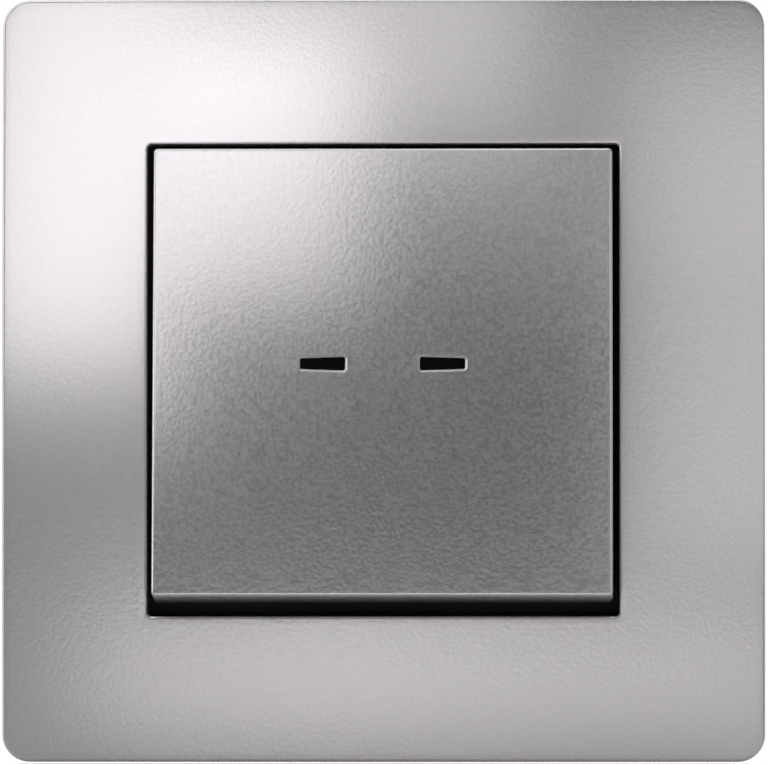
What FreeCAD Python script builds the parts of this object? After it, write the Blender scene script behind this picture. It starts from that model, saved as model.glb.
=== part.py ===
"""Flush push-button light switch: one square silver cover frame, one tilting key with two lamp windows,
and the spring-return contact mechanism with its steel bridge, claws and push-in terminals behind it.

Lengths are millimetres and angles are degrees. X runs to the right of the switch, Z runs up, and -Y
points out of the wall. The wall plane is Y = 0, and its origin is the middle of the switch. Depths are
written as distances ahead of the wall plane, so what lies inside the wall has negative ones. The key is
at rest, with its lower edge out.
"""

import FreeCAD, Part
import math
import os

import Sketcher

SIZES = [
    # Cover frame
    ("frame_corner", 2.9, "radius of the frame's outer corners"),
    ("frame_crown", 900.0, "radius of the gently crowned front"),
    ("frame_wall", 1.8, "thickness of the frame's side walls"),
    ("frame_face", 2.4, "thickness of the frame's face at its opening"),
    ("bridge_room", 3.2, "clearance between the bridge and the frame's walls"),
    ("frame_edge", 0.6, "rounding of the outer front edge"),
    ("opening_corner", 0.5, "radius of the opening's corners"),
    ("opening_edge", 0.35, "rounding of the opening's front edge"),
    ("latch_up", 13.0, "height of the frame's latches above and below the middle"),
    ("latch_room", 3.45, "distance of the frame's latches from the clip frame's collar"),
    ("latch_wide", 6.0, "width of a frame latch"),
    ("latch_thick", 1.2, "thickness of a frame latch"),
    ("latch_nib", 0.5, "reach of the latch's nib"),
    ("nib_tall", 0.8, "height of the latch's nib"),
    ("rail_thick", 1.2, "thickness of the rails that catch the latches"),
    ("rail_side", 1.4, "width of a rail on each side of its latch window"),
    ("rail_margin", 1.05, "flange left outside the rails"),
    ("rail_front", 5.4, "how far the rails stand ahead of the wall"),
    ("seat_gap", 0.3, "gap between the clip frame's collar and the cover frame"),
    # Key
    ("key_wall", 1.4, "thickness of the key's skirt"),
    ("key_plate", 2.0, "thickness of the key's face"),
    ("key_gap_side", 0.7, "gap on each side of the key in the frame's opening"),
    ("key_gap_end", 1.15, "gap above and below the key in the frame's opening"),
    ("key_proud", 2.5, "how far the key would stand ahead of the frame if it weren't tilted"),
    ("skirt_back", 2.0, "how far ahead of the pivot the key's skirt ends"),
    ("key_edge", 0.35, "rounding of the key's front edge"),
    ("key_corner", 0.45, "radius of the key's corners"),
    ("key_rib", 1.0, "thickness of the ribs under the key"),
    ("rib_gap", 1.8, "distance of those ribs from the carrier plate"),
    ("rib_tall", 1.6, "height of those ribs"),
    ("key_tilt", 5.5, "angle of the key at rest, with its lower edge out"),
    ("key_press", 10.0, "angle that the key turns when it is pressed home"),
    ("window_in", 3.95, "inner end of a lamp window from the middle"),
    ("window_long", 4.8, "length of a lamp window"),
    ("window_up", 0.85, "height of the windows above the key's middle"),
    ("window_tall", 1.45, "height of a window at its inner end"),
    ("window_low", 1.15, "height of a window at its outer end"),
    ("window_corner", 0.22, "radius of the window's corners"),
    ("window_edge", 0.25, "bevel round a window"),
    ("lens_recess", 0.45, "how far a lens lies behind the key's face"),
    ("lens_gap", 0.05, "clearance of a lens in its window"),
    ("lens_flange", 1.0, "thickness of a lens's flange"),
    ("lens_margin", 1.0, "width of a lens's flange round its window"),
    # Carrier under the key
    ("carrier_tall", 34.0, "height of the carrier plate"),
    ("carrier_back", 3.2, "distance of the carrier plate's back from the pivot"),
    ("carrier_plate", 2.0, "thickness of the carrier plate"),
    ("carrier_margin", 0.5, "how far the carrier plate reaches beyond the bearing ears"),
    ("pad_rise", 1.4, "height of the pads that the key sits on"),
    ("carrier_corner", 2.0, "radius of the carrier plate's corners"),
    ("arm_thick", 2.0, "thickness of a pivot arm"),
    ("arm_gap", 0.8, "gap between a pivot arm and its bearing ear"),
    ("arm_round", 2.0, "radius of a pivot arm's end"),
    ("pin_radius", 1.2, "radius of a pivot pin"),
    ("pin_gap", 0.06, "radial clearance of a pivot pin"),
    ("snap_out", 9.0, "distance of the key's snap legs from the middle"),
    ("snap_wide", 7.0, "width of a snap leg"),
    ("snap_thick", 1.2, "thickness of a snap leg"),
    ("snap_nib", 0.75, "reach of a snap leg's nib"),
    ("snap_hook", 0.9, "thickness of that nib"),
    ("small_gap", 0.15, "clearance between pieces that come close"),
    ("shaft_margin", 0.9, "margin of a light shaft round its window"),
    ("shaft_wall", 0.8, "wall of a light shaft's rim"),
    ("pad_side", 3.0, "width of the pads that the key sits on"),
    # Clip frame
    ("clip_thick", 1.2, "thickness of the flange"),
    ("clip_inset", 2.5, "bridge left outside the clip frame"),
    ("clip_cut", 11.5, "bevel of the flange's corners"),
    ("notch_wide", 9.0, "width of the flange's notches for the wall-box screws"),
    ("notch_gap", 0.4, "distance of those notches from the collar"),
    ("collar_gap", 0.3, "set-back of the collar's inside from the frame's opening"),
    ("collar_wall", 1.2, "thickness of the collar"),
    ("ledge_deep", 2.05, "width of the clip frame's ledge beside the key"),
    ("ledge_gap", 0.4, "clearance of the claw screws' heads in the ledge"),
    ("ledge_room", 2.6, "clearance of the base's cover in the ledge"),
    ("peg_radius", 1.2, "radius of the pegs that hold the clip frame to the bridge"),
    ("peg_out", 13.0, "sideways distance of the pegs from the middle"),
    ("peg_inset", 3.5, "distance of the pegs from the flange's edge"),
    # Steel bridge
    ("bridge_thick", 1.2, "thickness of the steel"),
    ("bridge_corner", 5.0, "bevel of the bridge's corners"),
    ("bridge_hem", 2.2, "height of the bridge's folded top and bottom hems"),
    ("hem_long", 34.0, "length of a hem"),
    ("screw_pitch", 60.0, "distance between opposite wall-box screws"),
    ("bridge_margin", 5.5, "distance of the bridge's edge from the middle of a slot"),
    ("slot_long", 7.4, "end-to-end length of a screw slot"),
    ("slot_radius", 2.2, "half the width of a screw slot"),
    ("corner_inset", 6.0, "distance of the corner holes from the bridge's edges"),
    ("corner_hole", 1.8, "radius of a corner hole"),
    # Base and its cover
    ("base_corner", 3.0, "radius of the base's corners"),
    ("base_floor", 1.8, "thickness of the base's floor"),
    ("side_wall", 3.2, "thickness of the base's side walls"),
    ("strip_gap", 0.2, "clearance at the ends of the moving contact strip"),
    ("strip_room", 0.3, "clearance above and below the moving contact strip"),
    ("wire_room", 4.3, "width of a wire chamber between its partition and its terminal"),
    ("guide_room", 0.6, "clearance between a clamp spring and a wire guide"),
    ("base_wall", 2.0, "thickness of the base's top and bottom walls"),
    ("shoulder_deep", 2.4, "thickness of the shoulder"),
    ("bridge_gap", 0.3, "clearance of the base in the bridge's opening"),
    ("bridge_bite", 1.5, "how far the shoulder and the cover lap the bridge"),
    ("cover_thick", 1.0, "thickness of the base's cover"),
    ("pivot_rise", 1.7, "height of the pivot ahead of the cover"),
    ("ear_margin", 0.2, "cover left outside a bearing ear"),
    ("cover_lap", 28.0, "width of the cover where it laps the bridge"),
    ("ear_thick", 2.0, "thickness of a bearing ear"),
    ("ear_round", 2.4, "radius of a bearing ear's top"),
    ("ear_mouth", 2.0, "width of the mouth that a pivot pin snaps through"),
    ("arm_room", 0.4, "clearance of the carrier's arms in the cover"),
    ("screw_radius", 1.0, "radius of a cover screw"),
    ("screw_head", 1.9, "radius of a cover screw's head"),
    ("head_thick", 1.0, "thickness of a cover screw's head"),
    ("screw_slot", 0.5, "width of a screw's slot"),
    ("thread_gap", 0.05, "clearance of a cover screw in its post"),
    ("screw_long", 9.0, "length of a cover screw under its head"),
    ("post_radius", 2.5, "radius of the posts for the cover screws"),
    ("post_gap", 0.3, "gap between a lower post and the side wall"),
    ("post_sink", 0.1, "how far a post sinks into the wall above or below it"),
    ("partition_thick", 1.2, "thickness of a partition"),
    # Plunger and contacts
    ("plunger_inset", 5.0, "distance of the plunger from the carrier plate's lower end"),
    ("plunger_side", 4.0, "width of the plunger's square stem"),
    ("plunger_head", 5.6, "width of the plunger's head"),
    ("plunger_head_thick", 0.9, "thickness of the plunger's head"),
    ("boss_reach", 0.9, "distance of the carrier's push boss from the pivot"),
    ("boss_radius", 1.6, "radius of the push boss"),
    ("boss_round", 1.0, "rounding of the push boss's tip"),
    ("touch_gap", 0.12, "clearance between the push boss and the plunger"),
    ("stem_deep", 12.4, "how far the plunger's stem reaches behind the wall plane"),
    ("collar_side", 7.4, "width of the collar on the plunger's stem"),
    ("collar_thick", 1.0, "thickness of that collar"),
    ("strip_level", 4.6, "how far the moving contact strip lies behind the wall plane"),
    ("strip_thick", 0.8, "thickness of the contact metal"),
    ("strip_long", 16.8, "length of the moving contact strip"),
    ("contact_inset", 2.0, "distance of a contact point from the strip's end"),
    ("strip_end", 3.4, "width of the moving contact strip at its ends"),
    ("strip_wide", 7.8, "width of the moving contact strip at its middle"),
    ("contact_radius", 1.3, "radius of a contact point"),
    ("contact_tall", 0.5, "height of a contact point above its strip"),
    ("contact_closed", 0.15, "gap left between the points when the key is pressed home"),
    ("spring_radius", 3.3, "mean radius of the contact spring"),
    ("spring_wire", 0.45, "wire diameter of the contact spring"),
    ("spring_turns", 3.0, "turns of the contact spring"),
    ("return_radius", 2.7, "mean radius of the return spring"),
    ("return_wire", 0.6, "wire diameter of the return spring"),
    ("return_turns", 4.5, "turns of the return spring"),
    ("shoulder_thick", 1.6, "thickness of the shoulder under the contact strip"),
    ("shoulder_long", 5.6, "length of that shoulder"),
    ("strip_slack", 5.9, "height of the contact strip's hole"),
    ("spigot_radius", 1.9, "radius of the plunger's spigot inside the return spring"),
    ("cup_wall", 1.0, "wall of the cup that holds the return spring"),
    ("cup_tall", 2.6, "height of that cup above the base's floor"),
    # Terminals
    ("tab_end", 2.2, "length of a terminal's contact tab below its point"),
    ("terminal_gap", 0.1, "clearance between a terminal and the base's wall"),
    ("plate_gap", 0.4, "clearance at the end of a terminal plate"),
    ("tab_root", 0.5, "lower edge of a terminal's cross tab"),
    ("tab_ledge", 1.7, "width of the ledge under a contact tab"),
    ("wire_pitch", 8.4, "distance between the two wire entries of a terminal"),
    ("wire_inset", 1.9, "distance of a wire entry from its terminal plate"),
    ("wire_hole", 1.7, "radius of a wire entry"),
    ("wire_funnel", 0.5, "bevel at the mouth of a wire entry"),
    ("guide_wall", 0.6, "wall of the guide round a wire entry"),
    ("guide_tall", 3.7, "height of that guide above the floor"),
    ("clamp_thick", 0.4, "thickness of a clamp spring"),
    ("clamp_wide", 5.4, "width of a clamp spring"),
    ("clamp_gap", 0.1, "clearance of a clamp spring at the base's wall"),
    ("clamp_start", 0.56, "clearance between a clamp spring and the tab ahead of it"),
    ("clamp_fixed", 6.0, "length of a clamp spring's fixed leg"),
    ("clamp_split", 1.5, "length of the split at a clamp spring's bend"),
    ("clamp_round", 0.7, "bend radius of a clamp spring at its middle"),
    ("clamp_angle", 24.0, "angle of a clamp spring's free leg"),
    ("clamp_leg", 5.4, "length of a clamp spring's free leg"),
    ("clamp_slot", 3.6, "width of the slot between the tongues"),
    ("lever_wide", 3.8, "width of a release button"),
    ("lever_tall", 3.2, "height of a release button"),
    ("lever_inset", 0.2, "distance of a release button from its terminal plate"),
    ("nose_gap", 0.2, "clearance between a release button's nose and the wire guides"),
    ("nose_long", 2.1, "length of a release button's nose"),
    ("lever_proud", 0.8, "how far a release button stands out of the base"),
    ("lever_gap", 0.15, "clearance of a release button in its window"),
    ("nose_tall", 4.4, "width of a release button's nose across both tongues"),
    ("nose_tip", 1.4, "thickness of the nose at its tip"),
    # Lamp unit
    ("board_tall", 7.4, "height of the lamp board"),
    ("board_up", 1.7, "height of the lamp board's middle"),
    ("board_margin", 1.9, "board left outside a lamp lead"),
    ("lead_inset", 1.0, "distance of a lamp lead from its partition"),
    ("board_thick", 1.0, "thickness of the lamp board"),
    ("led_wide", 2.2, "width of a lamp"),
    ("led_tall", 1.4, "height of a lamp"),
    ("led_thick", 0.9, "thickness of a lamp"),
    ("led_bevel", 0.2, "bevel of a lamp's front"),
    ("resistor_out", 2.4, "distance of a resistor from the middle"),
    ("resistor_long", 1.6, "length of a resistor"),
    ("resistor_wide", 0.8, "width of a resistor"),
    ("resistor_thick", 0.5, "thickness of a resistor"),
    ("lead_side", 0.8, "width of a lamp lead"),
    ("lead_up", 2.5, "height of the lamp leads above the middle"),
    ("cheek_thick", 0.9, "thickness of the cheeks that hold the lamp board"),
    ("cheek_tall", 4.0, "length of those cheeks"),
    # Claws
    ("claw_down", 9.0, "distance of the claws below the middle"),
    ("claw_wide", 8.0, "width of a claw"),
    ("claw_thick", 1.2, "thickness of a claw"),
    ("claw_gap", 0.3, "clearance between a claw and the base"),
    ("slot_margin", 1.5, "how far a claw's slot reaches past its screw's end"),
    ("claw_bend", 0.9, "outer bend radius of a claw"),
    ("claw_hinge_deep", 1.8, "how far a claw's bend lies behind the wall plane"),
    ("claw_arm", 15.5, "how far a claw's arm reaches behind the wall plane"),
    ("claw_foot", 5.0, "length of a claw's toothed foot"),
    ("foot_angle", 50.0, "angle of the foot to the arm"),
    ("claw_lug", 5.2, "length of a claw's lug from its bend"),
    ("claw_screw_radius", 1.5, "radius of a claw screw"),
    ("claw_screw_head", 2.2, "radius of a claw screw's head"),
    ("claw_head_thick", 1.8, "thickness of a claw screw's head"),
    ("claw_screw_deep", 11.0, "how far a claw screw reaches behind the wall plane"),
    ("claw_fork", 3.6, "width of the slot that a claw's screw passes"),
    ("claw_slack", 0.25, "extra length of that slot beyond the screw"),
    ("tooth_deep", 1.0, "depth of the notches between a claw's teeth"),
    ("claw_room", 0.4, "clearance round a claw in the base"),
]


class Formula:
    """A size that is a number now and also the expression that ties it to the sheet."""

    def __init__(self, value, text):
        self.value = float(value)
        self.text = text

    def __add__(self, other):
        return joined(self, "+", other, lambda a, b: a + b)

    def __radd__(self, other):
        return joined(other, "+", self, lambda a, b: a + b)

    def __sub__(self, other):
        return joined(self, "-", other, lambda a, b: a - b)

    def __rsub__(self, other):
        return joined(other, "-", self, lambda a, b: a - b)

    def __mul__(self, other):
        return joined(self, "*", other, lambda a, b: a * b)

    def __rmul__(self, other):
        return joined(other, "*", self, lambda a, b: a * b)

    def __truediv__(self, other):
        return joined(self, "/", other, lambda a, b: a / b)

    def __neg__(self):
        return joined(0, "-", self, lambda a, b: a - b)


def as_formula(size):
    """A plain number as a formula; a formula as it is."""
    return size if isinstance(size, Formula) else Formula(size, repr(float(size)))


def joined(left, sign, right, work):
    """Two sizes combined, both as numbers and as text."""
    left, right = as_formula(left), as_formula(right)
    return Formula(work(left.value, right.value), f"({left.text} {sign} {right.text})")


def sine(angle):
    angle = as_formula(angle)
    return Formula(math.sin(math.radians(angle.value)), f"sin({angle.text})")


def cosine(angle):
    angle = as_formula(angle)
    return Formula(math.cos(math.radians(angle.value)), f"cos({angle.text})")


def tangent(angle):
    angle = as_formula(angle)
    return Formula(math.tan(math.radians(angle.value)), f"tan({angle.text})")


class Sizes:
    """The driving dimensions, in a spreadsheet of the document."""

    def __init__(self, document):
        self.sheet = document.addObject("Spreadsheet::Sheet", "sizes")
        for row, (alias, value, note) in enumerate(SIZES, start=1):
            self.sheet.set(f"A{row}", repr(value))
            self.sheet.setAlias(f"A{row}", alias)
            self.sheet.set(f"B{row}", note)
            setattr(self, alias, Formula(value, f"sizes.{alias}"))


def larger(left, right):
    """The larger of two sizes."""
    left, right = as_formula(left), as_formula(right)
    return Formula(max(left.value, right.value), f"max({left.text}; {right.text})")


def size_base(s):
    """The contacts, the clamps and the wires set the base's width, height and depth."""
    s.plunger_down = s.carrier_tall / 2 - s.plunger_inset
    s.contact_out = s.strip_long / 2 - s.contact_inset
    s.tab_wide = 2 * s.contact_inset
    s.partition_in = s.strip_long / 2 + s.strip_gap
    s.terminal_out = s.partition_in + s.partition_thick + s.wire_room + s.strip_thick
    s.cavity_wide = 2 * (s.terminal_out + s.terminal_gap)
    s.cavity_up = s.plunger_down + s.strip_wide / 2 + s.strip_room
    s.base_wide = s.cavity_wide + 2 * s.side_wall
    s.base_tall = 2 * (s.cavity_up + s.base_wall)
    s.plunger_travel = s.plunger_down * (sine(s.key_tilt) + sine(s.key_press - s.key_tilt))
    s.strip_back = -(s.strip_level + s.strip_thick)
    s.tab_front = s.strip_back - s.plunger_travel - s.contact_closed - 2 * s.contact_tall
    s.clamp_front = s.strip_thick + s.clamp_start - s.tab_front
    s.clamp_bend = s.clamp_front + s.clamp_fixed
    s.clamp_joined = s.clamp_bend - s.clamp_split
    s.guide_front = s.clamp_bend + s.clamp_round + s.clamp_thick / 2 + s.guide_room
    s.base_deep = s.guide_front + s.guide_tall + s.base_floor


def size_wiring(s):
    """What stands in the wire chambers, the posts and the lamp board."""
    s.wire_up = s.cavity_up - s.clamp_gap - s.clamp_wide / 2 - s.wire_pitch / 2
    s.wire_out = s.terminal_out - s.strip_thick - s.wire_inset
    s.lever_out = s.terminal_out - s.strip_thick - s.lever_inset - s.lever_wide / 2
    s.plate_top = s.cavity_up - s.plate_gap
    s.plate_deep = s.guide_front - s.seat_gap
    s.nose_back = s.guide_front - s.nose_gap
    s.lever_tip = s.nose_back - s.nose_long
    s.top_post_up = s.cavity_up - s.post_radius + s.post_sink
    s.low_post_down = s.top_post_up
    s.low_post_out = s.cavity_wide / 2 - s.post_radius - s.post_gap
    s.lead_out = s.partition_in - s.lead_inset
    s.board_wide = 2 * (s.lead_out + s.board_margin)
    s.led_out = s.window_in + s.window_long / 2


def size_front(s):
    """The base and its claws set the clip frame, the opening, the key, the bridge and the cover frame."""
    s.cover_front = s.bridge_thick + s.cover_thick
    s.well_wide = s.base_wide + 2 * s.bridge_gap
    s.well_tall = s.base_tall + 2 * s.bridge_gap
    s.shoulder_wide = s.well_wide + 2 * s.bridge_bite
    s.cover_tall = s.well_tall + 2 * s.bridge_bite
    s.claw_hinge_out = s.base_wide / 2 + s.claw_gap
    s.claw_screw_out = s.claw_hinge_out + s.claw_screw_head
    s.claw_slot_deep = s.claw_screw_deep + s.slot_margin
    s.ledge_wide = 2 * (s.claw_screw_out + s.claw_screw_head + s.ledge_gap)
    s.ledge_tall = s.cover_tall + 2 * s.ledge_room
    s.collar_in = s.ledge_wide / 2 + s.ledge_deep
    s.collar_out = s.collar_in + s.collar_wall
    s.opening_side = 2 * (s.collar_in - s.collar_gap)
    s.latch_out = s.collar_out + s.latch_room
    s.rail_in = s.latch_out + s.latch_thick / 2 + s.small_gap
    s.clip_side = 2 * (s.rail_in + s.rail_thick + s.rail_margin)
    s.peg_up = s.clip_side / 2 - s.peg_inset
    s.bridge_side = 2 * larger(s.clip_side / 2 + s.clip_inset, s.screw_pitch / 2 + s.bridge_margin)
    s.corner_pitch = s.bridge_side - 2 * s.corner_inset
    s.frame_side = s.bridge_side + 2 * (s.bridge_room + s.frame_wall)


def size_key(s):
    """The opening and the pivot set the key, and the key's face sets the front of the cover frame."""
    s.key_wide = s.opening_side - 2 * s.key_gap_side
    s.key_tall = s.opening_side - 2 * s.key_gap_end
    s.pivot_front = s.cover_front + s.pivot_rise
    s.key_under = s.carrier_back + s.carrier_plate + s.pad_rise
    s.key_face = s.key_under + s.key_plate
    s.frame_front = s.pivot_front + s.key_face - s.key_proud
    s.frame_inside = s.frame_front - s.frame_face
    s.ear_in = s.base_wide / 2 - s.ear_margin - s.ear_thick
    s.arm_in = s.ear_in - s.arm_gap - s.arm_thick
    s.carrier_wide = 2 * (s.ear_in + s.ear_thick + s.carrier_margin)
    s.rib_out = s.carrier_wide / 2 + s.rib_gap


doc = FreeCAD.newDocument("light_switch")
s = Sizes(doc)
for work_out in (size_base, size_wiring, size_front, size_key):
    work_out(s)
doc.recompute()

PLANES = {"front": "XZ_Plane", "side": "YZ_Plane", "top": "XY_Plane"}
BODIES = []


def bind(feature, name, size):
    """Ties one property of a feature to its formula."""
    size = as_formula(size)
    feature.setExpression(name, size.text)


def new_body(label):
    """An empty body that will be exported under its label."""
    body = doc.addObject("PartDesign::Body", label)
    body.Label = label
    BODIES.append(body)
    return body


class Drawing:
    """A sketch on one of a body's own planes, at a level along that plane's normal.

    The front plane's level is a distance ahead of the wall, the side plane's is X and the top plane's
    is Z. Every point is held by its distances from the origin.
    """

    def __init__(self, body, name, plane, level):
        self.sketch = body.newObject("Sketcher::SketchObject", name)
        role = PLANES[plane]
        support = [f for f in body.Origin.OriginFeatures if f.Role == role][0]
        self.sketch.AttachmentSupport = (support, [""])
        self.sketch.MapMode = "FlatFace"
        bind(self.sketch, "AttachmentOffset.Base.z", level)

    def hold(self, kind, size, *places):
        """Adds a dimension and ties it to its formula."""
        size = as_formula(size)
        index = self.sketch.addConstraint(Sketcher.Constraint(kind, *places, size.value))
        self.sketch.setExpression(f"Constraints[{index}]", size.text)

    def relate(self, kind, *places):
        self.sketch.addConstraint(Sketcher.Constraint(kind, *places))

    def pin(self, geometry, point, across, up):
        """Holds a point of a curve at its distances from the origin."""
        self.hold("DistanceX", across, -1, 1, geometry, point)
        self.hold("DistanceY", up, -1, 1, geometry, point)

    def line(self, start, end):
        ends = [FreeCAD.Vector(as_formula(x).value, as_formula(y).value, 0) for x, y in (start, end)]
        return self.sketch.addGeometry(Part.LineSegment(*ends), False)

    def arc(self, centre, radius, start_degrees, end_degrees):
        middle = FreeCAD.Vector(as_formula(centre[0]).value, as_formula(centre[1]).value, 0)
        circle = Part.Circle(middle, FreeCAD.Vector(0, 0, 1), as_formula(radius).value)
        curve = Part.ArcOfCircle(circle, math.radians(start_degrees), math.radians(end_degrees))
        return self.sketch.addGeometry(curve, False)

    def polygon(self, points):
        """A closed outline of straight lines."""
        lines = [self.line(a, b) for a, b in zip(points, points[1:] + points[:1])]
        for this, following in zip(lines, lines[1:] + lines[:1]):
            self.relate("Coincident", this, 2, following, 1)
        for this, (across, up) in zip(lines, points):
            self.pin(this, 1, across, up)
        return self

    def rectangle(self, left, right, low, high):
        return self.polygon([(left, low), (right, low), (right, high), (left, high)])

    def circle(self, across, up, radius):
        middle = FreeCAD.Vector(as_formula(across).value, as_formula(up).value, 0)
        ring = Part.Circle(middle, FreeCAD.Vector(0, 0, 1), as_formula(radius).value)
        index = self.sketch.addGeometry(ring, False)
        self.pin(index, 3, across, up)
        self.hold("Radius", radius, index)
        return self

    def slot(self, start, end, radius):
        """A round-ended slot between two centres that lie on one level or above each other."""
        (x0, y0), (x1, y1) = [(as_formula(x), as_formula(y)) for x, y in (start, end)]
        heading = math.degrees(math.atan2(y1.value - y0.value, x1.value - x0.value))
        first = self.arc((x0, y0), radius, heading + 90, heading + 270)
        second = self.arc((x1, y1), radius, heading - 90, heading + 90)
        reach = as_formula(radius).value
        side_x, side_y = (reach * math.cos(math.radians(heading + 90)),
                          reach * math.sin(math.radians(heading + 90)))
        lower = self.line((x0.value - side_x, y0.value - side_y), (x1.value - side_x, y1.value - side_y))
        upper = self.line((x1.value + side_x, y1.value + side_y), (x0.value + side_x, y0.value + side_y))
        for before, after in ((first, lower), (lower, second), (second, upper), (upper, first)):
            self.relate("Tangent", before, 2, after, 1)
        self.pin(first, 3, x0, y0)
        self.pin(second, 3, x1, y1)
        self.hold("Radius", radius, first)
        self.hold("Radius", radius, second)
        return self


def grow(body, name, plane, low, high, draw):
    """Pads an outline from one level up to another."""
    drawing = Drawing(body, name + "_outline", plane, low)
    draw(drawing)
    pad = body.newObject("PartDesign::Pad", name)
    pad.Profile = drawing.sketch
    bind(pad, "Length", high - as_formula(low))
    drawing.sketch.Visibility = False
    return pad


def cut(body, name, plane, low, high, draw):
    """Cuts an outline out of the body from one level up to another."""
    drawing = Drawing(body, name + "_outline", plane, high)
    draw(drawing)
    pocket = body.newObject("PartDesign::Pocket", name)
    pocket.Profile = drawing.sketch
    bind(pocket, "Length", high - as_formula(low))
    drawing.sketch.Visibility = False
    return pocket


def edges_where(body, test):
    """The names of the body's edges that pass a test of their middle and direction."""
    doc.recompute()
    found = []
    for number, edge in enumerate(body.Shape.Edges, start=1):
        middle = edge.CenterOfMass
        first, last = edge.Vertexes[0].Point, edge.Vertexes[-1].Point
        along = last - first
        if along.Length > 1e-6:
            along.normalize()
        if test(middle, along):
            found.append(f"Edge{number}")
    return found


def soften(body, name, radius, test, kind="Fillet"):
    """Rounds or bevels the chosen edges."""
    names = edges_where(body, test)
    feature = body.newObject(f"PartDesign::{kind}", name)
    feature.Base = (body.Tip if body.Tip is not feature else feature.BaseFeature, names)
    bind(feature, "Radius" if kind == "Fillet" else "Size", radius)
    body.Tip = feature
    return feature


def near(value, size, tolerance=0.02):
    """Is a measured number at this size?"""
    return abs(value - as_formula(size).value) < tolerance


def along_depth(middle, along):
    """An edge that runs along Y."""
    return abs(along.y) > 0.999


def centred(width, height):
    """Draws a rectangle of that width and height round the origin."""
    return lambda d: d.rectangle(-width / 2, width / 2, -height / 2, height / 2)


def cover_frame():
    """The silver frame: a hollow, gently crowned square with a square opening and four latches."""
    body = new_body("cover_frame")
    blank_front = s.frame_front + s.frame_face
    grow(body, "Blank", "front", 0, blank_front, centred(s.frame_side, s.frame_side))
    soften(body, "Corners", s.frame_corner, along_depth)
    crown_front(body, blank_front)
    cavity = s.frame_side - 2 * s.frame_wall
    cut(body, "Inside", "front", 0, s.frame_inside, centred(cavity, cavity))
    cut(body, "Opening", "front", 0, blank_front, centred(s.opening_side, s.opening_side))
    inner = s.opening_side.value / 2 + 0.5
    soften(body, "OpeningCorners", s.opening_corner,
           lambda m, a: along_depth(m, a) and max(abs(m.x), abs(m.z)) < inner)
    visible = s.frame_inside.value + 0.5
    outer = s.frame_side.value / 2 - 0.9
    soften(body, "OuterEdge", s.frame_edge,
           lambda m, a: -m.y > visible and abs(a.y) < 0.9 and max(abs(m.x), abs(m.z)) > outer)
    soften(body, "OpeningEdge", s.opening_edge,
           lambda m, a: -m.y > s.frame_front.value - 0.4 and max(abs(m.x), abs(m.z)) < inner)
    frame_latches(body)
    return body


def crown_front(body, blank_front):
    """Turns the front into a shallow sphere: everything ahead of a large arc is grooved away."""
    half_opening = s.opening_side / 2
    apex = s.frame_front + half_opening * half_opening / (2 * s.frame_crown)
    reach = s.frame_side * 0.75
    drawing = Drawing(body, "CrownOutline", "top", 0)
    radius = s.frame_crown.value
    centre_y = radius - apex.value
    swing = math.degrees(math.asin(reach.value / radius))
    edge_y = centre_y - math.sqrt(radius**2 - reach.value**2)
    arc = drawing.arc((0, centre_y), radius, 270, 270 + swing)
    ahead = -(blank_front + 1.0)
    side = drawing.line((reach, edge_y), (reach, ahead))
    front = drawing.line((reach, ahead), (0, ahead))
    axis = drawing.line((0, ahead), (0, -apex.value))
    for before, after in ((arc, side), (side, front), (front, axis)):
        drawing.relate("Coincident", before, 2, after, 1)
    drawing.relate("Coincident", axis, 2, arc, 1)
    drawing.pin(arc, 3, 0, s.frame_crown - apex)
    drawing.hold("Radius", s.frame_crown, arc)
    drawing.relate("Vertical", side)
    drawing.pin(side, 2, reach, ahead)
    drawing.pin(axis, 1, 0, ahead)
    drawing.relate("Vertical", axis)
    groove = body.newObject("PartDesign::Groove", "Crown")
    groove.Profile = drawing.sketch
    groove.ReferenceAxis = (drawing.sketch, ["V_Axis"])
    groove.Angle = 360
    drawing.sketch.Visibility = False
    return groove


def latch_ends():
    """The near and far levels of a latch's nib."""
    low = s.bridge_thick + s.clip_thick + s.seat_gap
    return low, low + s.nib_tall


def frame_latches(body):
    """Four snap latches behind the frame's left and right bands, each with a nib that faces outward."""
    low, nib_top = latch_ends()
    inner = s.latch_out - s.latch_thick / 2
    outer = s.latch_out + s.latch_thick / 2
    grow(body, "Latches", "front", low, s.frame_inside + 0.2,
         lambda d: four_boxes(d, inner, outer, s.latch_up, s.latch_wide))
    grow(body, "LatchNibs", "front", low, nib_top,
         lambda d: four_boxes(d, outer - 0.1, outer + s.latch_nib, s.latch_up, s.latch_wide))


def four_boxes(drawing, near, far, up, width):
    """The same rectangle on the left and the right, above and below the middle."""
    for side in (1, -1):
        for end in (1, -1):
            left, right = outward(side, near, far)
            drawing.rectangle(left, right, end * up - width / 2, end * up + width / 2)


def outward(side, near, far):
    """The left and right limits of a span that lies between two distances from the middle."""
    return (near, far) if side > 0 else (-far, -near)


def octagon(half, corner):
    """Draws a square round the origin with its corners cut off."""
    inner = half - corner
    points = [(-inner, -half), (inner, -half), (half, -inner), (half, inner),
              (inner, half), (-inner, half), (-half, inner), (-half, -inner)]
    return lambda d: d.polygon(points)


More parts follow.
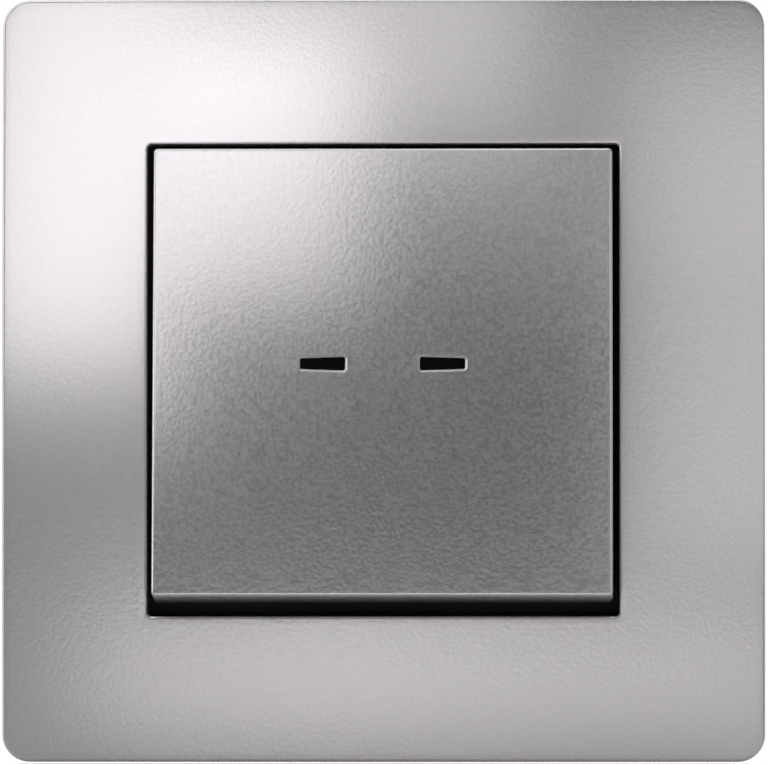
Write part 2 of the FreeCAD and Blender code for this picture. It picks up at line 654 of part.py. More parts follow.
def clip_frame():
    """The black adapter: a flange on the bridge, a ledge and a collar round the key, and latch rails."""
    body = new_body("clip_frame")
    back = s.bridge_thick
    front = back + s.clip_thick
    inner = s.collar_in
    outer = s.collar_out
    collar_front = s.frame_inside - s.seat_gap
    grow(body, "Flange", "front", back, front, octagon(s.clip_side / 2, s.clip_cut))
    grow(body, "Collar", "front", back, collar_front, centred(2 * outer, 2 * outer))
    cut(body, "CollarInside", "front", front, collar_front + 1, centred(2 * inner, 2 * inner))
    cut(body, "Well", "front", back - 1, front + 1, centred(s.ledge_wide, s.ledge_tall))
    notch = s.notch_wide / 2
    start = outer + s.notch_gap
    end = s.clip_side / 2 + 1

    def notches(d):
        d.rectangle(start, end, -notch, notch)
        d.rectangle(-end, -start, -notch, notch)
        d.rectangle(-notch, notch, start, end)
        d.rectangle(-notch, notch, -end, -start)

    cut(body, "ScrewNotches", "front", back - 1, front + 1, notches)
    latch_rails(body, front)
    grow(body, "Pegs", "front", s.small_gap, back, four_pegs(s.peg_radius))
    return body


def four_pegs(radius):
    """Draws the four circles of the clip frame's pegs."""
    def draw(d):
        for side in (1, -1):
            for end in (1, -1):
                d.circle(side * s.peg_out, end * s.peg_up, radius)
    return draw


def latch_rails(body, front):
    """Four short rails, each with a window that the frame's nib drops into."""
    inner = s.rail_in
    outer = inner + s.rail_thick
    rail = s.latch_wide + 2 * s.small_gap + 2 * s.rail_side
    window = s.latch_wide + 2 * s.small_gap
    low, nib_top = latch_ends()
    grow(body, "Rails", "front", front, s.rail_front,
         lambda d: four_boxes(d, inner, outer, s.latch_up, rail))

    def windows(d):
        for end in (1, -1):
            d.rectangle(-(nib_top + s.small_gap), -front,
                        end * s.latch_up - window / 2, end * s.latch_up + window / 2)

    cut(body, "RailWindowsRight", "side", inner - 0.5, outer + 0.5, windows)
    cut(body, "RailWindowsLeft", "side", -(outer + 0.5), -(inner - 0.5), windows)


def support_bridge():
    """The galvanised sheet that the wall-box screws hold, with folded hems at its top and bottom."""
    body = new_body("support_bridge")
    front = s.bridge_thick
    grow(body, "Sheet", "front", 0, front, octagon(s.bridge_side / 2, s.bridge_corner))
    hem_low = s.bridge_side / 2 - s.bridge_thick

    def hems(d):
        for end in (1, -1):
            low, high = outward(end, hem_low, s.bridge_side / 2)
            d.rectangle(-s.hem_long / 2, s.hem_long / 2, low, high)

    grow(body, "Hems", "front", front, front + s.bridge_hem, hems)
    edge = s.bridge_side.value / 2
    soften(body, "HemBends", s.bridge_thick * 0.75,
           lambda m, a: abs(a.x) > 0.999 and near(abs(m.z), edge) and near(m.y, 0)
           and near(abs(m.x), 0))
    cut(body, "Well", "front", -1, front + 1, centred(s.well_wide, s.well_tall))
    soften(body, "WellCorners", s.base_corner + s.bridge_gap,
           lambda m, a: along_depth(m, a) and near(abs(m.x), s.well_wide / 2)
           and near(abs(m.z), s.well_tall / 2))
    cut(body, "ScrewSlots", "front", -1, front + 1, screw_slots)
    cut(body, "CornerHoles", "front", -1, front + 1, corner_holes)
    cut(body, "PegHoles", "front", -1, front + 1, four_pegs(s.peg_radius + s.small_gap))

    def claw_holes(d):
        for side in (1, -1):
            d.circle(side * s.claw_screw_out, -s.claw_down, s.claw_screw_radius + s.small_gap)

    cut(body, "ClawScrewHoles", "front", -1, front + 1, claw_holes)
    return body


def screw_slots(d):
    """Two slots beside each other and two above each other, all at the wall-box pitch."""
    reach = s.screw_pitch / 2
    half = s.slot_long / 2 - s.slot_radius
    for side in (1, -1):
        d.slot((side * reach - half, 0), (side * reach + half, 0), s.slot_radius)
    for end in (1, -1):
        d.slot((0, end * reach - half), (0, end * reach + half), s.slot_radius)


def corner_holes(d):
    """One round hole in each corner."""
    for side in (1, -1):
        for end in (1, -1):
            d.circle(side * s.corner_pitch / 2, end * s.corner_pitch / 2, s.corner_hole)


def screw_places():
    """Where the three cover screws stand."""
    return [(0, s.top_post_up), (s.low_post_out, -s.low_post_down), (-s.low_post_out, -s.low_post_down)]


def wire_places():
    """Where the four wire entries lie."""
    rows = (s.wire_up + s.wire_pitch / 2, s.wire_up - s.wire_pitch / 2)
    return [(side * s.wire_out, row) for side in (1, -1) for row in rows]


def base_housing():
    """The contact base: an open box with a shoulder, posts, partitions and wire entries."""
    body = new_body("base_housing")
    half = s.base_wide / 2
    back = -s.base_deep
    floor = back + s.base_floor
    front = s.bridge_thick
    grow(body, "Block", "front", back, front, centred(s.base_wide, s.base_tall))
    soften(body, "BlockCorners", s.base_corner, along_depth)
    grow(body, "Shoulder", "front", -s.shoulder_deep, 0, centred(s.shoulder_wide, s.cover_tall))
    soften(body, "ShoulderCorners", s.base_corner,
           lambda m, a: along_depth(m, a) and near(abs(m.x), s.shoulder_wide / 2))
    room = s.claw_wide / 2 + s.claw_room

    def claw_notches(d):
        for side in (1, -1):
            left, right = outward(side, half, s.shoulder_wide / 2 + 1)
            d.rectangle(left, right, -s.claw_down - room, -s.claw_down + room)

    cut(body, "ClawNotches", "front", -s.shoulder_deep - 1, 1, claw_notches)
    cut(body, "Cavity", "front", floor, front + 1, centred(s.cavity_wide, 2 * s.cavity_up))
    base_partitions(body, floor, front)
    grow(body, "Posts", "front", floor, front, circles(screw_places(), s.post_radius))
    cup = s.return_radius + s.return_wire / 2 + s.seat_gap
    grow(body, "SpringCup", "front", floor, floor + s.cup_tall,
         lambda d: d.circle(0, -s.plunger_down, cup + s.cup_wall))
    cut(body, "SpringCupInside", "front", floor, floor + s.cup_tall + 1,
        lambda d: d.circle(0, -s.plunger_down, cup))
    grow(body, "WireGuides", "front", floor, floor + s.guide_tall,
         circles(wire_places(), s.wire_hole + s.guide_wall))
    cut(body, "WireEntries", "front", back - 1, floor + s.guide_tall + 1,
        circles(wire_places(), s.wire_hole))
    cut(body, "PilotHoles", "front", front - s.screw_long, front + 1,
        circles(screw_places(), s.screw_radius + s.thread_gap))
    release_windows(body, back, floor)
    soften(body, "WireFunnels", s.wire_funnel,
           lambda m, a: near(m.y, s.base_deep) and near(abs(m.x), s.wire_out), "Chamfer")
    return body


def circles(places, radius):
    """Draws one circle at each place."""
    def draw(d):
        for across, up in places:
            d.circle(across, up, radius)
    return draw


def base_partitions(body, floor, front):
    """The walls between the contact chamber and the wire chambers, with ledges for the terminals."""
    inner = s.partition_in
    outer = inner + s.partition_thick
    tab_back = s.tab_front - s.strip_thick
    lower_end = s.tab_root - s.small_gap

    def lower_walls(d):
        for side in (1, -1):
            left, right = outward(side, inner, outer)
            d.rectangle(left, right, -s.cavity_up - 0.2, lower_end)

    def lower_ledges(d):
        for side in (1, -1):
            left, right = outward(side, inner - s.tab_ledge, inner + 0.2)
            d.rectangle(left, right, -s.cavity_up - 0.2, lower_end)

    def upper_walls(d):
        for side in (1, -1):
            left, right = outward(side, inner, outer)
            d.rectangle(left, right, lower_end - 0.2, s.cavity_up + 0.2)

    grow(body, "LowerPartitions", "front", floor, front - s.seat_gap, lower_walls)
    grow(body, "TabLedges", "front", floor, tab_back, lower_ledges)
    grow(body, "UpperPartitions", "front", floor, tab_back, upper_walls)


def release_windows(body, back, floor):
    """The openings in the floor that the release buttons slide in."""
    wide = s.lever_wide / 2 + s.lever_gap
    tall = s.lever_tall / 2 + s.lever_gap

    def draw(d):
        for side in (1, -1):
            left, right = outward(side, s.lever_out - wide, s.lever_out + wide)
            d.rectangle(left, right, s.wire_up - tall, s.wire_up + tall)

    cut(body, "ReleaseWindows", "front", back - 1, floor + 1, draw)


def housing_cover():
    """The cover that clamps the bridge to the base, with two bearing ears and cheeks for the lamps."""
    body = new_body("housing_cover")
    back = s.bridge_thick
    front = s.cover_front
    pivot = s.pivot_front
    grow(body, "Plate", "front", back, front, centred(s.base_wide, s.base_tall))
    soften(body, "PlateCorners", s.base_corner, along_depth)
    grow(body, "Lap", "front", back, front, centred(s.cover_lap, s.cover_tall))
    ear_out = s.ear_in + s.ear_thick
    for side, name in ((1, "Right"), (-1, "Left")):
        low, high = outward(side, s.ear_in, ear_out)
        grow(body, f"Ear{name}", "side", low, high,
             lambda d: d.rectangle(-pivot, -(front - 0.2), -s.ear_round, s.ear_round))
        grow(body, f"EarTop{name}", "side", low, high, lambda d: d.circle(-pivot, 0, s.ear_round))
        cut(body, f"Bearing{name}", "side", low - 0.1, high + 0.1,
            lambda d: d.circle(-pivot, 0, s.pin_radius + s.pin_gap))
        cut(body, f"Mouth{name}", "side", low - 0.1, high + 0.1,
            lambda d: d.rectangle(-(pivot + s.ear_round + 1), -pivot, -s.ear_mouth / 2, s.ear_mouth / 2))
    cut(body, "ScrewHoles", "front", back - 1, front + 1,
        circles(screw_places(), s.screw_radius + s.small_gap))
    cut(body, "PlungerHole", "front", back - 1, front + 1, plunger_hole)
    cut(body, "ArmRooms", "front", back - 1, front + 1, arm_rooms)
    cut(body, "LeadHoles", "front", back - 1, front + 1,
        lambda d: lead_squares(d, s.lead_side + 2 * s.small_gap))
    board_cheeks(body, front)
    return body


def plunger_hole(d):
    """The square hole that the plunger's head sinks into."""
    half = s.plunger_head / 2 + s.seat_gap
    d.rectangle(-half, half, -s.plunger_down - half, -s.plunger_down + half)


def arm_rooms(d):
    """Openings below the ends of the carrier's pivot arms."""
    tall = s.arm_round + s.arm_room
    for side in (1, -1):
        left, right = outward(side, s.arm_in - s.arm_room, s.arm_in + s.arm_thick + s.arm_room)
        d.rectangle(left, right, -tall, tall)


def lead_squares(d, width):
    """A square round each lamp lead."""
    for side in (1, -1):
        middle = side * s.lead_out
        d.rectangle(middle - width / 2, middle + width / 2, s.lead_up - width / 2, s.lead_up + width / 2)


def board_cheeks(body, front):
    """Two cheeks beside the lamp board, each with a nib over its edge."""
    edge = s.board_wide / 2 + s.small_gap
    board_front = front + s.board_thick + s.thread_gap

    def cheeks(d, reach):
        for side in (1, -1):
            left, right = outward(side, edge - reach, edge + s.cheek_thick)
            d.rectangle(left, right, s.board_up - s.cheek_tall / 2, s.board_up + s.cheek_tall / 2)

    grow(body, "Cheeks", "front", front - 0.2, board_front + 0.6, lambda d: cheeks(d, 0))
    grow(body, "CheekNibs", "front", board_front, board_front + 0.6,
         lambda d: cheeks(d, 3 * s.small_gap))


def housing_screws():
    """The three slotted screws that hold the cover and the bridge to the base."""
    body = new_body("housing_screws")
    body.AllowCompound = True
    seat = s.cover_front
    end = s.bridge_thick - s.screw_long + 1
    grow(body, "Heads", "front", seat, seat + s.head_thick, circles(screw_places(), s.screw_head))
    grow(body, "Shanks", "front", end, seat, circles(screw_places(), s.screw_radius))

    def slots(d):
        for across, up in screw_places():
            d.rectangle(across - s.screw_head - 0.2, across + s.screw_head + 0.2,
                        up - s.screw_slot / 2, up + s.screw_slot / 2)

    cut(body, "Slots", "front", seat + s.head_thick / 2, seat + s.head_thick + 1, slots)
    return body


def hang_on_pivot(body):
    """Places a piece that was drawn round the pivot: ahead of the wall, tilted as the key is at rest."""
    place = FreeCAD.Vector(0, -s.pivot_front.value, 0)
    turn = FreeCAD.Rotation(FreeCAD.Vector(1, 0, 0), -s.key_tilt.value)
    body.Placement = FreeCAD.Placement(place, turn)
    bind(body, "Placement.Base.y", -s.pivot_front)
    bind(body, "Placement.Rotation.Angle", -s.key_tilt)


def window_wedges(sides, margin):
    """Draws the wedge-shaped windows, grown on every side by a margin."""
    def draw(d):
        for side in sides:
            inner = side * (s.window_in - margin)
            outer = side * (s.window_in + s.window_long + margin)
            tall = s.window_tall / 2 + margin
            low = s.window_low / 2 + margin
            d.polygon([(inner, s.window_up - tall), (outer, s.window_up - low),
                       (outer, s.window_up + low), (inner, s.window_up + tall)])
    return draw


def window_boxes(sides, margin):
    """Draws plain rectangles round the windows."""
    def draw(d):
        for side in sides:
            left, right = outward(side, s.window_in - margin, s.window_in + s.window_long + margin)
            tall = s.window_tall / 2 + margin
            d.rectangle(left, right, s.window_up - tall, s.window_up + tall)
    return draw


def in_window(middle):
    """Is a point within the stretch of the key that holds the windows?"""
    across = abs(middle.x)
    return (s.window_in.value - 0.1 < across < s.window_in.value + s.window_long.value + 0.1
            and abs(middle.z - s.window_up.value) < s.window_tall.value)


def rocker_key():
    """The silver key: a shallow tray with two windows, ribs and four snap legs."""
    body = new_body("rocker_key")
    face = s.key_face
    back = s.skirt_back
    under = s.key_under
    grow(body, "Block", "front", back, face, centred(s.key_wide, s.key_tall))
    soften(body, "Corners", s.key_corner, along_depth)
    soften(body, "FrontEdge", s.key_edge,
           lambda m, a: near(m.y, -face) and not along_depth(m, a))
    cut(body, "Inside", "front", back - 1, under,
        centred(s.key_wide - 2 * s.key_wall, s.key_tall - 2 * s.key_wall))
    cut(body, "Windows", "front", under - 1, face + 1, window_wedges((1, -1), 0))
    soften(body, "WindowCorners", s.window_corner, lambda m, a: along_depth(m, a) and in_window(m))
    soften(body, "WindowBevels", s.window_edge,
           lambda m, a: near(m.y, -face) and in_window(m), "Chamfer")

    def ribs(d):
        for side in (1, -1):
            left, right = outward(side, s.rib_out, s.rib_out + s.key_rib)
            d.rectangle(left, right, -s.key_tall / 2 + s.key_wall - 0.2, s.key_tall / 2 - s.key_wall + 0.2)

    grow(body, "Ribs", "front", under - s.rib_tall, under + 0.2, ribs)
    snap_legs(body, under)
    hang_on_pivot(body)
    return body


def snap_legs(body, under):
    """Two legs above and two below, whose nibs hook behind the carrier plate."""
    inner = s.carrier_tall / 2 + s.small_gap
    hook_front = s.carrier_back - s.thread_gap
    hook_back = hook_front - s.snap_hook

    def boxes(near_end, far_end):
        def draw(d):
            for end in (1, -1):
                low, high = outward(end, near_end, far_end)
                for side in (1, -1):
                    middle = side * s.snap_out
                    d.rectangle(middle - s.snap_wide / 2, middle + s.snap_wide / 2, low, high)
        return draw

    grow(body, "SnapLegs", "front", hook_back, under + 0.2, boxes(inner, inner + s.snap_thick))
    grow(body, "SnapNibs", "front", hook_back, hook_front, boxes(inner - s.snap_nib, inner + 0.2))


def window_lens(side, name):
    """A smoked lens: a wedge that fills a window from behind, with a flange under the key's face."""
    body = new_body(f"window_lens_{name}")
    under = s.key_under
    grow(body, "Flange", "front", under - s.lens_flange, under, window_boxes((side,), s.lens_margin))
    grow(body, "Wedge", "front", under - 0.2, s.key_face - s.lens_recess,
         window_wedges((side,), -s.lens_gap))
    soften(body, "WedgeCorners", s.window_corner - s.lens_gap,
           lambda m, a: along_depth(m, a) and in_window(m) and m.y < -under.value)
    hang_on_pivot(body)
    return body


def rocker_carrier():
    """The black plate under the key, with pivot arms and pins, light shafts, pads and a push boss."""
    body = new_body("rocker_carrier")
    back = s.carrier_back
    front = back + s.carrier_plate
    under = s.key_under
    grow(body, "Plate", "front", back, front, centred(s.carrier_wide, s.carrier_tall))
    soften(body, "PlateCorners", s.carrier_corner, along_depth)
    shaft = s.shaft_margin + s.shaft_wall
    grow(body, "LightShafts", "front", front - 0.2, under - s.lens_flange, window_boxes((1, -1), shaft))
    cut(body, "LightOpenings", "front", back - 1, under, window_boxes((1, -1), s.shaft_margin))
    pad_out = s.carrier_wide / 2 - s.pad_side
    pad_up = s.carrier_tall / 2 - s.pad_side

    def pads(d):
        for side in (1, -1):
            for end in (1, -1):
                d.rectangle(side * pad_out - s.pad_side / 2, side * pad_out + s.pad_side / 2,
                            end * pad_up - s.pad_side / 2, end * pad_up + s.pad_side / 2)

    grow(body, "Pads", "front", front - 0.2, under, pads)
    arm_out = s.arm_in + s.arm_thick
    for side, name in ((1, "Right"), (-1, "Left")):
        low, high = outward(side, s.arm_in, arm_out)
        grow(body, f"Arm{name}", "side", low, high,
             lambda d: d.rectangle(-(back + 0.2), 0, -s.arm_round, s.arm_round))
        grow(body, f"ArmEnd{name}", "side", low, high, lambda d: d.circle(0, 0, s.arm_round))
        low, high = outward(side, arm_out - 0.2, s.ear_in + s.ear_thick)
        grow(body, f"Pin{name}", "side", low, high, lambda d: d.circle(0, 0, s.pin_radius))
    grow(body, "PushBoss", "front", -s.boss_reach, back + 0.2,
         lambda d: d.circle(0, -s.plunger_down, s.boss_radius))
    soften(body, "BossTip", s.boss_round,
           lambda m, a: near(m.y, s.boss_reach) and near(m.z, -s.plunger_down))
    hang_on_pivot(body)
    return body


def head_front():
    """Level of the plunger's head, just behind the lowest point of the tilted push boss."""
    flat = s.boss_radius - s.boss_round
    ball_level = s.pivot_front + (s.boss_round - s.boss_reach) * cosine(s.key_tilt)
    lowest = ball_level + (s.plunger_down - flat) * sine(s.key_tilt) - s.boss_round
    return lowest - s.touch_gap


def square_at_plunger(width, height):
    """Draws a rectangle round the plunger's axis."""
    return lambda d: d.rectangle(-width / 2, width / 2,
                                 -s.plunger_down - height / 2, -s.plunger_down + height / 2)


def plunger():
    """The plunger: head, stem, collar for the contact spring, shoulder for the strip, and spigot."""
    body = new_body("plunger")
    top = head_front()
    collar_top = s.bridge_thick - s.small_gap
    seat = s.strip_back
    grow(body, "Stem", "front", seat - s.shoulder_thick, top,
         square_at_plunger(s.plunger_side, s.plunger_side))
    grow(body, "Head", "front", top - s.plunger_head_thick, top,
         square_at_plunger(s.plunger_head, s.plunger_head))
    grow(body, "Collar", "front", collar_top - s.collar_thick, collar_top,
         square_at_plunger(s.collar_side, s.collar_side))
    grow(body, "Shoulder", "front", seat - s.shoulder_thick, seat,
         square_at_plunger(s.shoulder_long, s.plunger_side))
    grow(body, "Spigot", "front", -s.stem_deep, seat - s.shoulder_thick + 0.2,
         lambda d: d.circle(0, -s.plunger_down, s.spigot_radius))
    return body


def contact_strip():
    """The moving contact strip, widest where the spring sits, with a hole for the plunger's stem."""
    body = new_body("contact_strip")
    front = -s.strip_level
    grow(body, "Arms", "front", s.strip_back, front, square_at_plunger(s.strip_long, s.strip_end))
    grow(body, "Middle", "front", s.strip_back, front, square_at_plunger(s.strip_wide, s.strip_wide))
    cut(body, "StemHole", "front", s.strip_back - 1, front + 1,
        square_at_plunger(s.plunger_side + 2 * s.small_gap, s.strip_slack))
    return body


def contact_places():
    return [(side * s.contact_out, -s.plunger_down) for side in (1, -1)]


def contact_points(name, low):
    """Two round contact points, standing on the level given."""
    body = new_body(name)
    body.AllowCompound = True
    grow(body, "Points", "front", low, low + s.contact_tall, circles(contact_places(), s.contact_radius))
    return body


def coil_spring(name, radius, wire, turns, back, front):
    """A coil on the plunger's axis that fills the room between two levels; its wire has six flats."""
    body = new_body(name)
    drawing = Drawing(body, "WireSection", "top", 0)
    corner = wire / 2
    steps = [(cosine(30 + 60 * step), sine(30 + 60 * step)) for step in range(6)]
    drawing.polygon([(radius + corner * x, -front + wire / 2 + corner * y) for x, y in steps])
    coil = body.newObject("PartDesign::AdditiveHelix", "Coil")
    coil.Profile = drawing.sketch
    coil.ReferenceAxis = (drawing.sketch, ["V_Axis"])
    coil.Mode = "height-turns-angle"
    bind(coil, "Height", front - back - wire)
    bind(coil, "Turns", turns)
    drawing.sketch.Visibility = False
    body.Placement.Base = FreeCAD.Vector(0, 0, -s.plunger_down.value)
    bind(body, "Placement.Base.z", -s.plunger_down)
    return body


def terminal(side, name):
    """A folded terminal: a contact tab and a cross tab in front, and a plate along the base's wall."""
    body = new_body(f"terminal_{name}")
    front = s.tab_front
    back = front - s.strip_thick
    tab_in = s.contact_out - s.tab_wide / 2
    tab_out = s.contact_out + s.tab_wide / 2
    tab_low = -s.plunger_down - s.tab_end
    tab_top = s.tab_root + s.tab_wide
    outline = [(s.terminal_out, s.tab_root), (s.terminal_out, tab_top), (tab_in, tab_top),
               (tab_in, tab_low), (tab_out, tab_low), (tab_out, s.tab_root)]
    grow(body, "Tabs", "front", back, front, lambda d: d.polygon([(side * x, z) for x, z in outline]))
    left, right = outward(side, s.terminal_out - s.strip_thick, s.terminal_out)
    grow(body, "Plate", "front", -s.plate_deep, front,
         lambda d: d.rectangle(left, right, s.tab_root, s.plate_top))
    soften(body, "Bend", s.strip_thick * 0.75,
           lambda m, a: abs(a.z) > 0.999 and near(abs(m.x), s.terminal_out) and near(m.y, -front))
    return body


def clamp_outline(d, side):
    """The clamp spring seen from above: a fixed leg, a bend and a free leg that slants to the plate."""
    inner = s.partition_in + s.partition_thick + s.thread_gap
    half = s.clamp_thick / 2
    centre = side * (inner + half + s.clamp_round)
    tip_x = s.clamp_leg * sine(s.clamp_angle)
    tip_y = s.clamp_leg * cosine(s.clamp_angle)
    slant = s.clamp_angle.value
    angles = (slant, 180) if side > 0 else (0, 180 - slant)
    fixed_end, free_end = (2, 1) if side > 0 else (1, 2)
    sides = []
    for radius in (s.clamp_round + half, s.clamp_round - half):
        fixed_x = centre - side * radius
        root = (centre + side * radius * cosine(s.clamp_angle),
                s.clamp_bend + radius * sine(s.clamp_angle))
        tip = (root[0] + side * tip_x, root[1] - tip_y)
        arc = d.arc((centre, s.clamp_bend), radius, *angles)
        fixed = d.line((fixed_x, s.clamp_front), (fixed_x, s.clamp_bend))
        free = d.line(root, tip)
        d.relate("Tangent", arc, fixed_end, fixed, 2)
        d.relate("Tangent", arc, free_end, free, 1)
        d.relate("Vertical", fixed)
        d.pin(arc, 3, centre, s.clamp_bend)
        d.hold("Radius", radius, arc)
        d.hold("DistanceY", s.clamp_front, -1, 1, fixed, 1)
        d.pin(free, 2, *tip)
        sides.append((fixed, free, fixed_x, tip))
    for number, place, choose in ((0, 1, 2), (1, 2, 3)):
        ends = [entry[choose] for entry in sides]
        if choose == 2:
            ends = [(x, s.clamp_front) for x in ends]
        cross = d.line(*ends)
        for point, entry in enumerate(sides, start=1):
            d.relate("Coincident", cross, point, entry[number], place)


def clamp_spring(side, name):
    """A push-in clamp: one bent strip with two tongues that grip the wires against the plate."""
    body = new_body(f"clamp_spring_{name}")
    half = s.wire_pitch / 2 + s.clamp_wide / 2
    grow(body, "Strip", "top", s.wire_up - half, s.wire_up + half, lambda d: clamp_outline(d, side))
    inner = s.partition_in + s.partition_thick
    reach = s.terminal_out + 1
    slot = s.clamp_slot / 2
    bend_back = -(s.clamp_bend + s.clamp_round + s.clamp_thick + 1)

    def whole(d):
        left, right = outward(side, inner - 1, reach)
        d.rectangle(left, right, s.wire_up - slot, s.wire_up + slot)

    def tongues_only(d):
        left, right = outward(side, inner + s.clamp_thick + s.clamp_round / 2, reach)
        d.rectangle(left, right, s.wire_up - slot, s.wire_up + slot)

    cut(body, "SlotAtBend", "front", bend_back, -s.clamp_joined, whole)
    cut(body, "SlotBetweenTongues", "front", -s.clamp_joined - 0.1, -s.clamp_front + 1, tongues_only)
    return body


def release_button(side, name):
    """A release button: a stem through the floor, and a nose that wedges the tongues off the wires."""
    body = new_body(f"release_{name}")
    inner = s.lever_out - s.lever_wide / 2
    outer = s.lever_out + s.lever_wide / 2
    nose_in = outer - s.nose_tip
    nose_root = nose_in - (s.nose_back - s.lever_tip) * tangent(s.clamp_angle)
    nose = [(nose_in, s.lever_tip), (outer, s.lever_tip), (outer, s.nose_back), (nose_root, s.nose_back)]
    left, right = outward(side, inner, outer)
    grow(body, "Stem", "front", -(s.base_deep + s.lever_proud), -s.nose_back + 0.2,
         lambda d: d.rectangle(left, right, s.wire_up - s.lever_tall / 2, s.wire_up + s.lever_tall / 2))
    grow(body, "Nose", "top", s.wire_up - s.nose_tall / 2, s.wire_up + s.nose_tall / 2,
         lambda d: d.polygon([(side * x, y) for x, y in nose]))
    return body


def board_front():
    """Level of the front of the lamp board."""
    return s.cover_front + s.board_thick


def lamp_board():
    """The lamp board, between the cheeks on the cover."""
    body = new_body("lamp_board")
    low = s.board_up - s.board_tall / 2
    high = s.board_up + s.board_tall / 2
    grow(body, "Board", "front", board_front() - s.board_thick, board_front(),
         lambda d: d.rectangle(-s.board_wide / 2, s.board_wide / 2, low, high))
    cut(body, "LeadHoles", "front", board_front() - s.board_thick - 1, board_front() + 1,
        lambda d: lead_squares(d, s.lead_side + 2 * s.thread_gap))
    return body


def lamp(side, name):
    """A small lamp on the board, behind its window."""
    body = new_body(f"lamp_{name}")
    front = board_front() + s.led_thick
    left, right = outward(side, s.led_out - s.led_wide / 2, s.led_out + s.led_wide / 2)
    grow(body, "Case", "front", board_front(), front,
         lambda d: d.rectangle(left, right, s.window_up - s.led_tall / 2, s.window_up + s.led_tall / 2))
    soften(body, "Bevel", s.led_bevel, lambda m, a: near(m.y, -front), "Chamfer")
    return body


def lamp_resistors():
    """Two chip resistors between the lamps."""
    body = new_body("lamp_resistors")
    body.AllowCompound = True

    def chips(d):
        for side in (1, -1):
            middle = side * s.resistor_out
            d.rectangle(middle - s.resistor_long / 2, middle + s.resistor_long / 2,
                        s.window_up - s.resistor_wide / 2, s.window_up + s.resistor_wide / 2)

    grow(body, "Chips", "front", board_front(), board_front() + s.resistor_thick, chips)
    return body


def lamp_leads():
    """Two square leads from the lamp board down to the terminals."""
    body = new_body("lamp_leads")
    body.AllowCompound = True
    grow(body, "Leads", "front", s.tab_front, board_front() + s.seat_gap,
         lambda d: lead_squares(d, s.lead_side))
    return body


def claw(side, name):
    """A spreading claw: a forked lug and arm round its screw, and a toothed foot."""
    body = new_body(f"claw_{name}")
    hinge = s.claw_hinge_out
    deep = s.claw_hinge_deep
    thick = s.claw_thick
    foot_x = s.claw_foot * sine(s.foot_angle)
    foot_y = s.claw_foot * cosine(s.foot_angle)
    outline = [
        (hinge, deep),
        (hinge + s.claw_lug, deep),
        (hinge + s.claw_lug, deep + thick),
        (hinge + thick, deep + thick),
        (hinge + thick, s.claw_arm - thick * tangent(s.foot_angle / 2)),
        (hinge + foot_x + thick * cosine(s.foot_angle), s.claw_arm + foot_y - thick * sine(s.foot_angle)),
        (hinge + foot_x, s.claw_arm + foot_y),
        (hinge, s.claw_arm),
    ]
    half = s.claw_wide / 2
    middle = -s.claw_down
    grow(body, "Sheet", "top", middle - half, middle + half,
         lambda d: d.polygon([(side * x, y) for x, y in outline]))
    soften(body, "Bend", s.claw_bend,
           lambda m, a: abs(a.z) > 0.999 and near(abs(m.x), hinge) and near(m.y, deep))
    fork = s.claw_fork / 2
    cut(body, "LugSlot", "front", -(deep + thick) - 0.5, -deep + 1,
        lambda d: d.slot((side * (hinge - fork), middle), (side * (s.claw_screw_out + s.claw_slack), middle),
                         fork))
    left, right = outward(side, hinge - 1, hinge + thick + 0.5)
    cut(body, "ArmSlot", "side", left, right,
        lambda d: d.rectangle(deep + thick - 0.5, s.claw_slot_deep, middle - fork, middle + fork))
    foot_end = s.claw_arm + foot_y
    left, right = outward(side, hinge + thick + 1, hinge + s.claw_foot + 2)
    pitch = s.claw_wide / 4
    root = foot_end - thick * sine(s.foot_angle) - s.tooth_deep

    def teeth(d):
        for step in (-1, 0, 1):
            notch = middle + step * pitch
            d.polygon([(foot_end + 0.3, notch - pitch / 2), (foot_end + 0.3, notch + pitch / 2), (root, notch)])

    cut(body, "Teeth", "side", left, right, teeth)
    return body


def claw_screw(side, name):
    """The screw that pulls a claw's lug up to the bridge and so swings its foot outward."""
    body = new_body(f"claw_screw_{name}")
    seat = s.bridge_thick
    top = seat + s.claw_head_thick
    across = side * s.claw_screw_out
    up = -s.claw_down
    grow(body, "Head", "front", seat, top, lambda d: d.circle(across, up, s.claw_screw_head))
    soften(body, "HeadEdge", s.claw_head_thick / 4, lambda m, a: near(m.y, -top))
    grow(body, "Shank", "front", -s.claw_screw_deep, seat,
         lambda d: d.circle(across, up, s.claw_screw_radius))
    soften(body, "ShankTip", s.claw_screw_radius / 4, lambda m, a: near(m.y, s.claw_screw_deep), "Chamfer")
    half = s.screw_slot / 2
    reach = s.claw_screw_head + 0.5
    cut(body, "CrossSlot", "front", top - s.claw_head_thick / 2, top + 1,
        lambda d: d.rectangle(across - reach, across + reach, up - half, up + half))
    return body


SIDES = ((-1, "left"), (1, "right"))

# The pieces that stay on the wall
cover_frame()
clip_frame()
support_bridge()
base_housing()
housing_cover()
housing_screws()
for hand, word in SIDES:
    terminal(hand, word)
    clamp_spring(hand, word)
    release_button(hand, word)
    lamp(hand, word)
contact_points("fixed_points", s.tab_front)
lamp_board()
lamp_resistors()
lamp_leads()
coil_spring("return_spring", s.return_radius, s.return_wire, s.return_turns,
            -(s.base_deep - s.base_floor), s.strip_back - s.shoulder_thick)

# The pieces that tilt with the key
rocker_key()
rocker_carrier()
for hand, word in SIDES:
    window_lens(hand, word)

# The pieces that go in and out with the plunger
plunger()
contact_strip()
contact_points("moving_points", s.strip_back - s.contact_tall)
coil_spring("contact_spring", s.spring_radius, s.spring_wire, s.spring_turns,
            -s.strip_level, s.bridge_thick - s.small_gap - s.collar_thick)

# The pieces that grip the wall box
for hand, word in SIDES:
    claw(hand, word)
    claw_screw(hand, word)

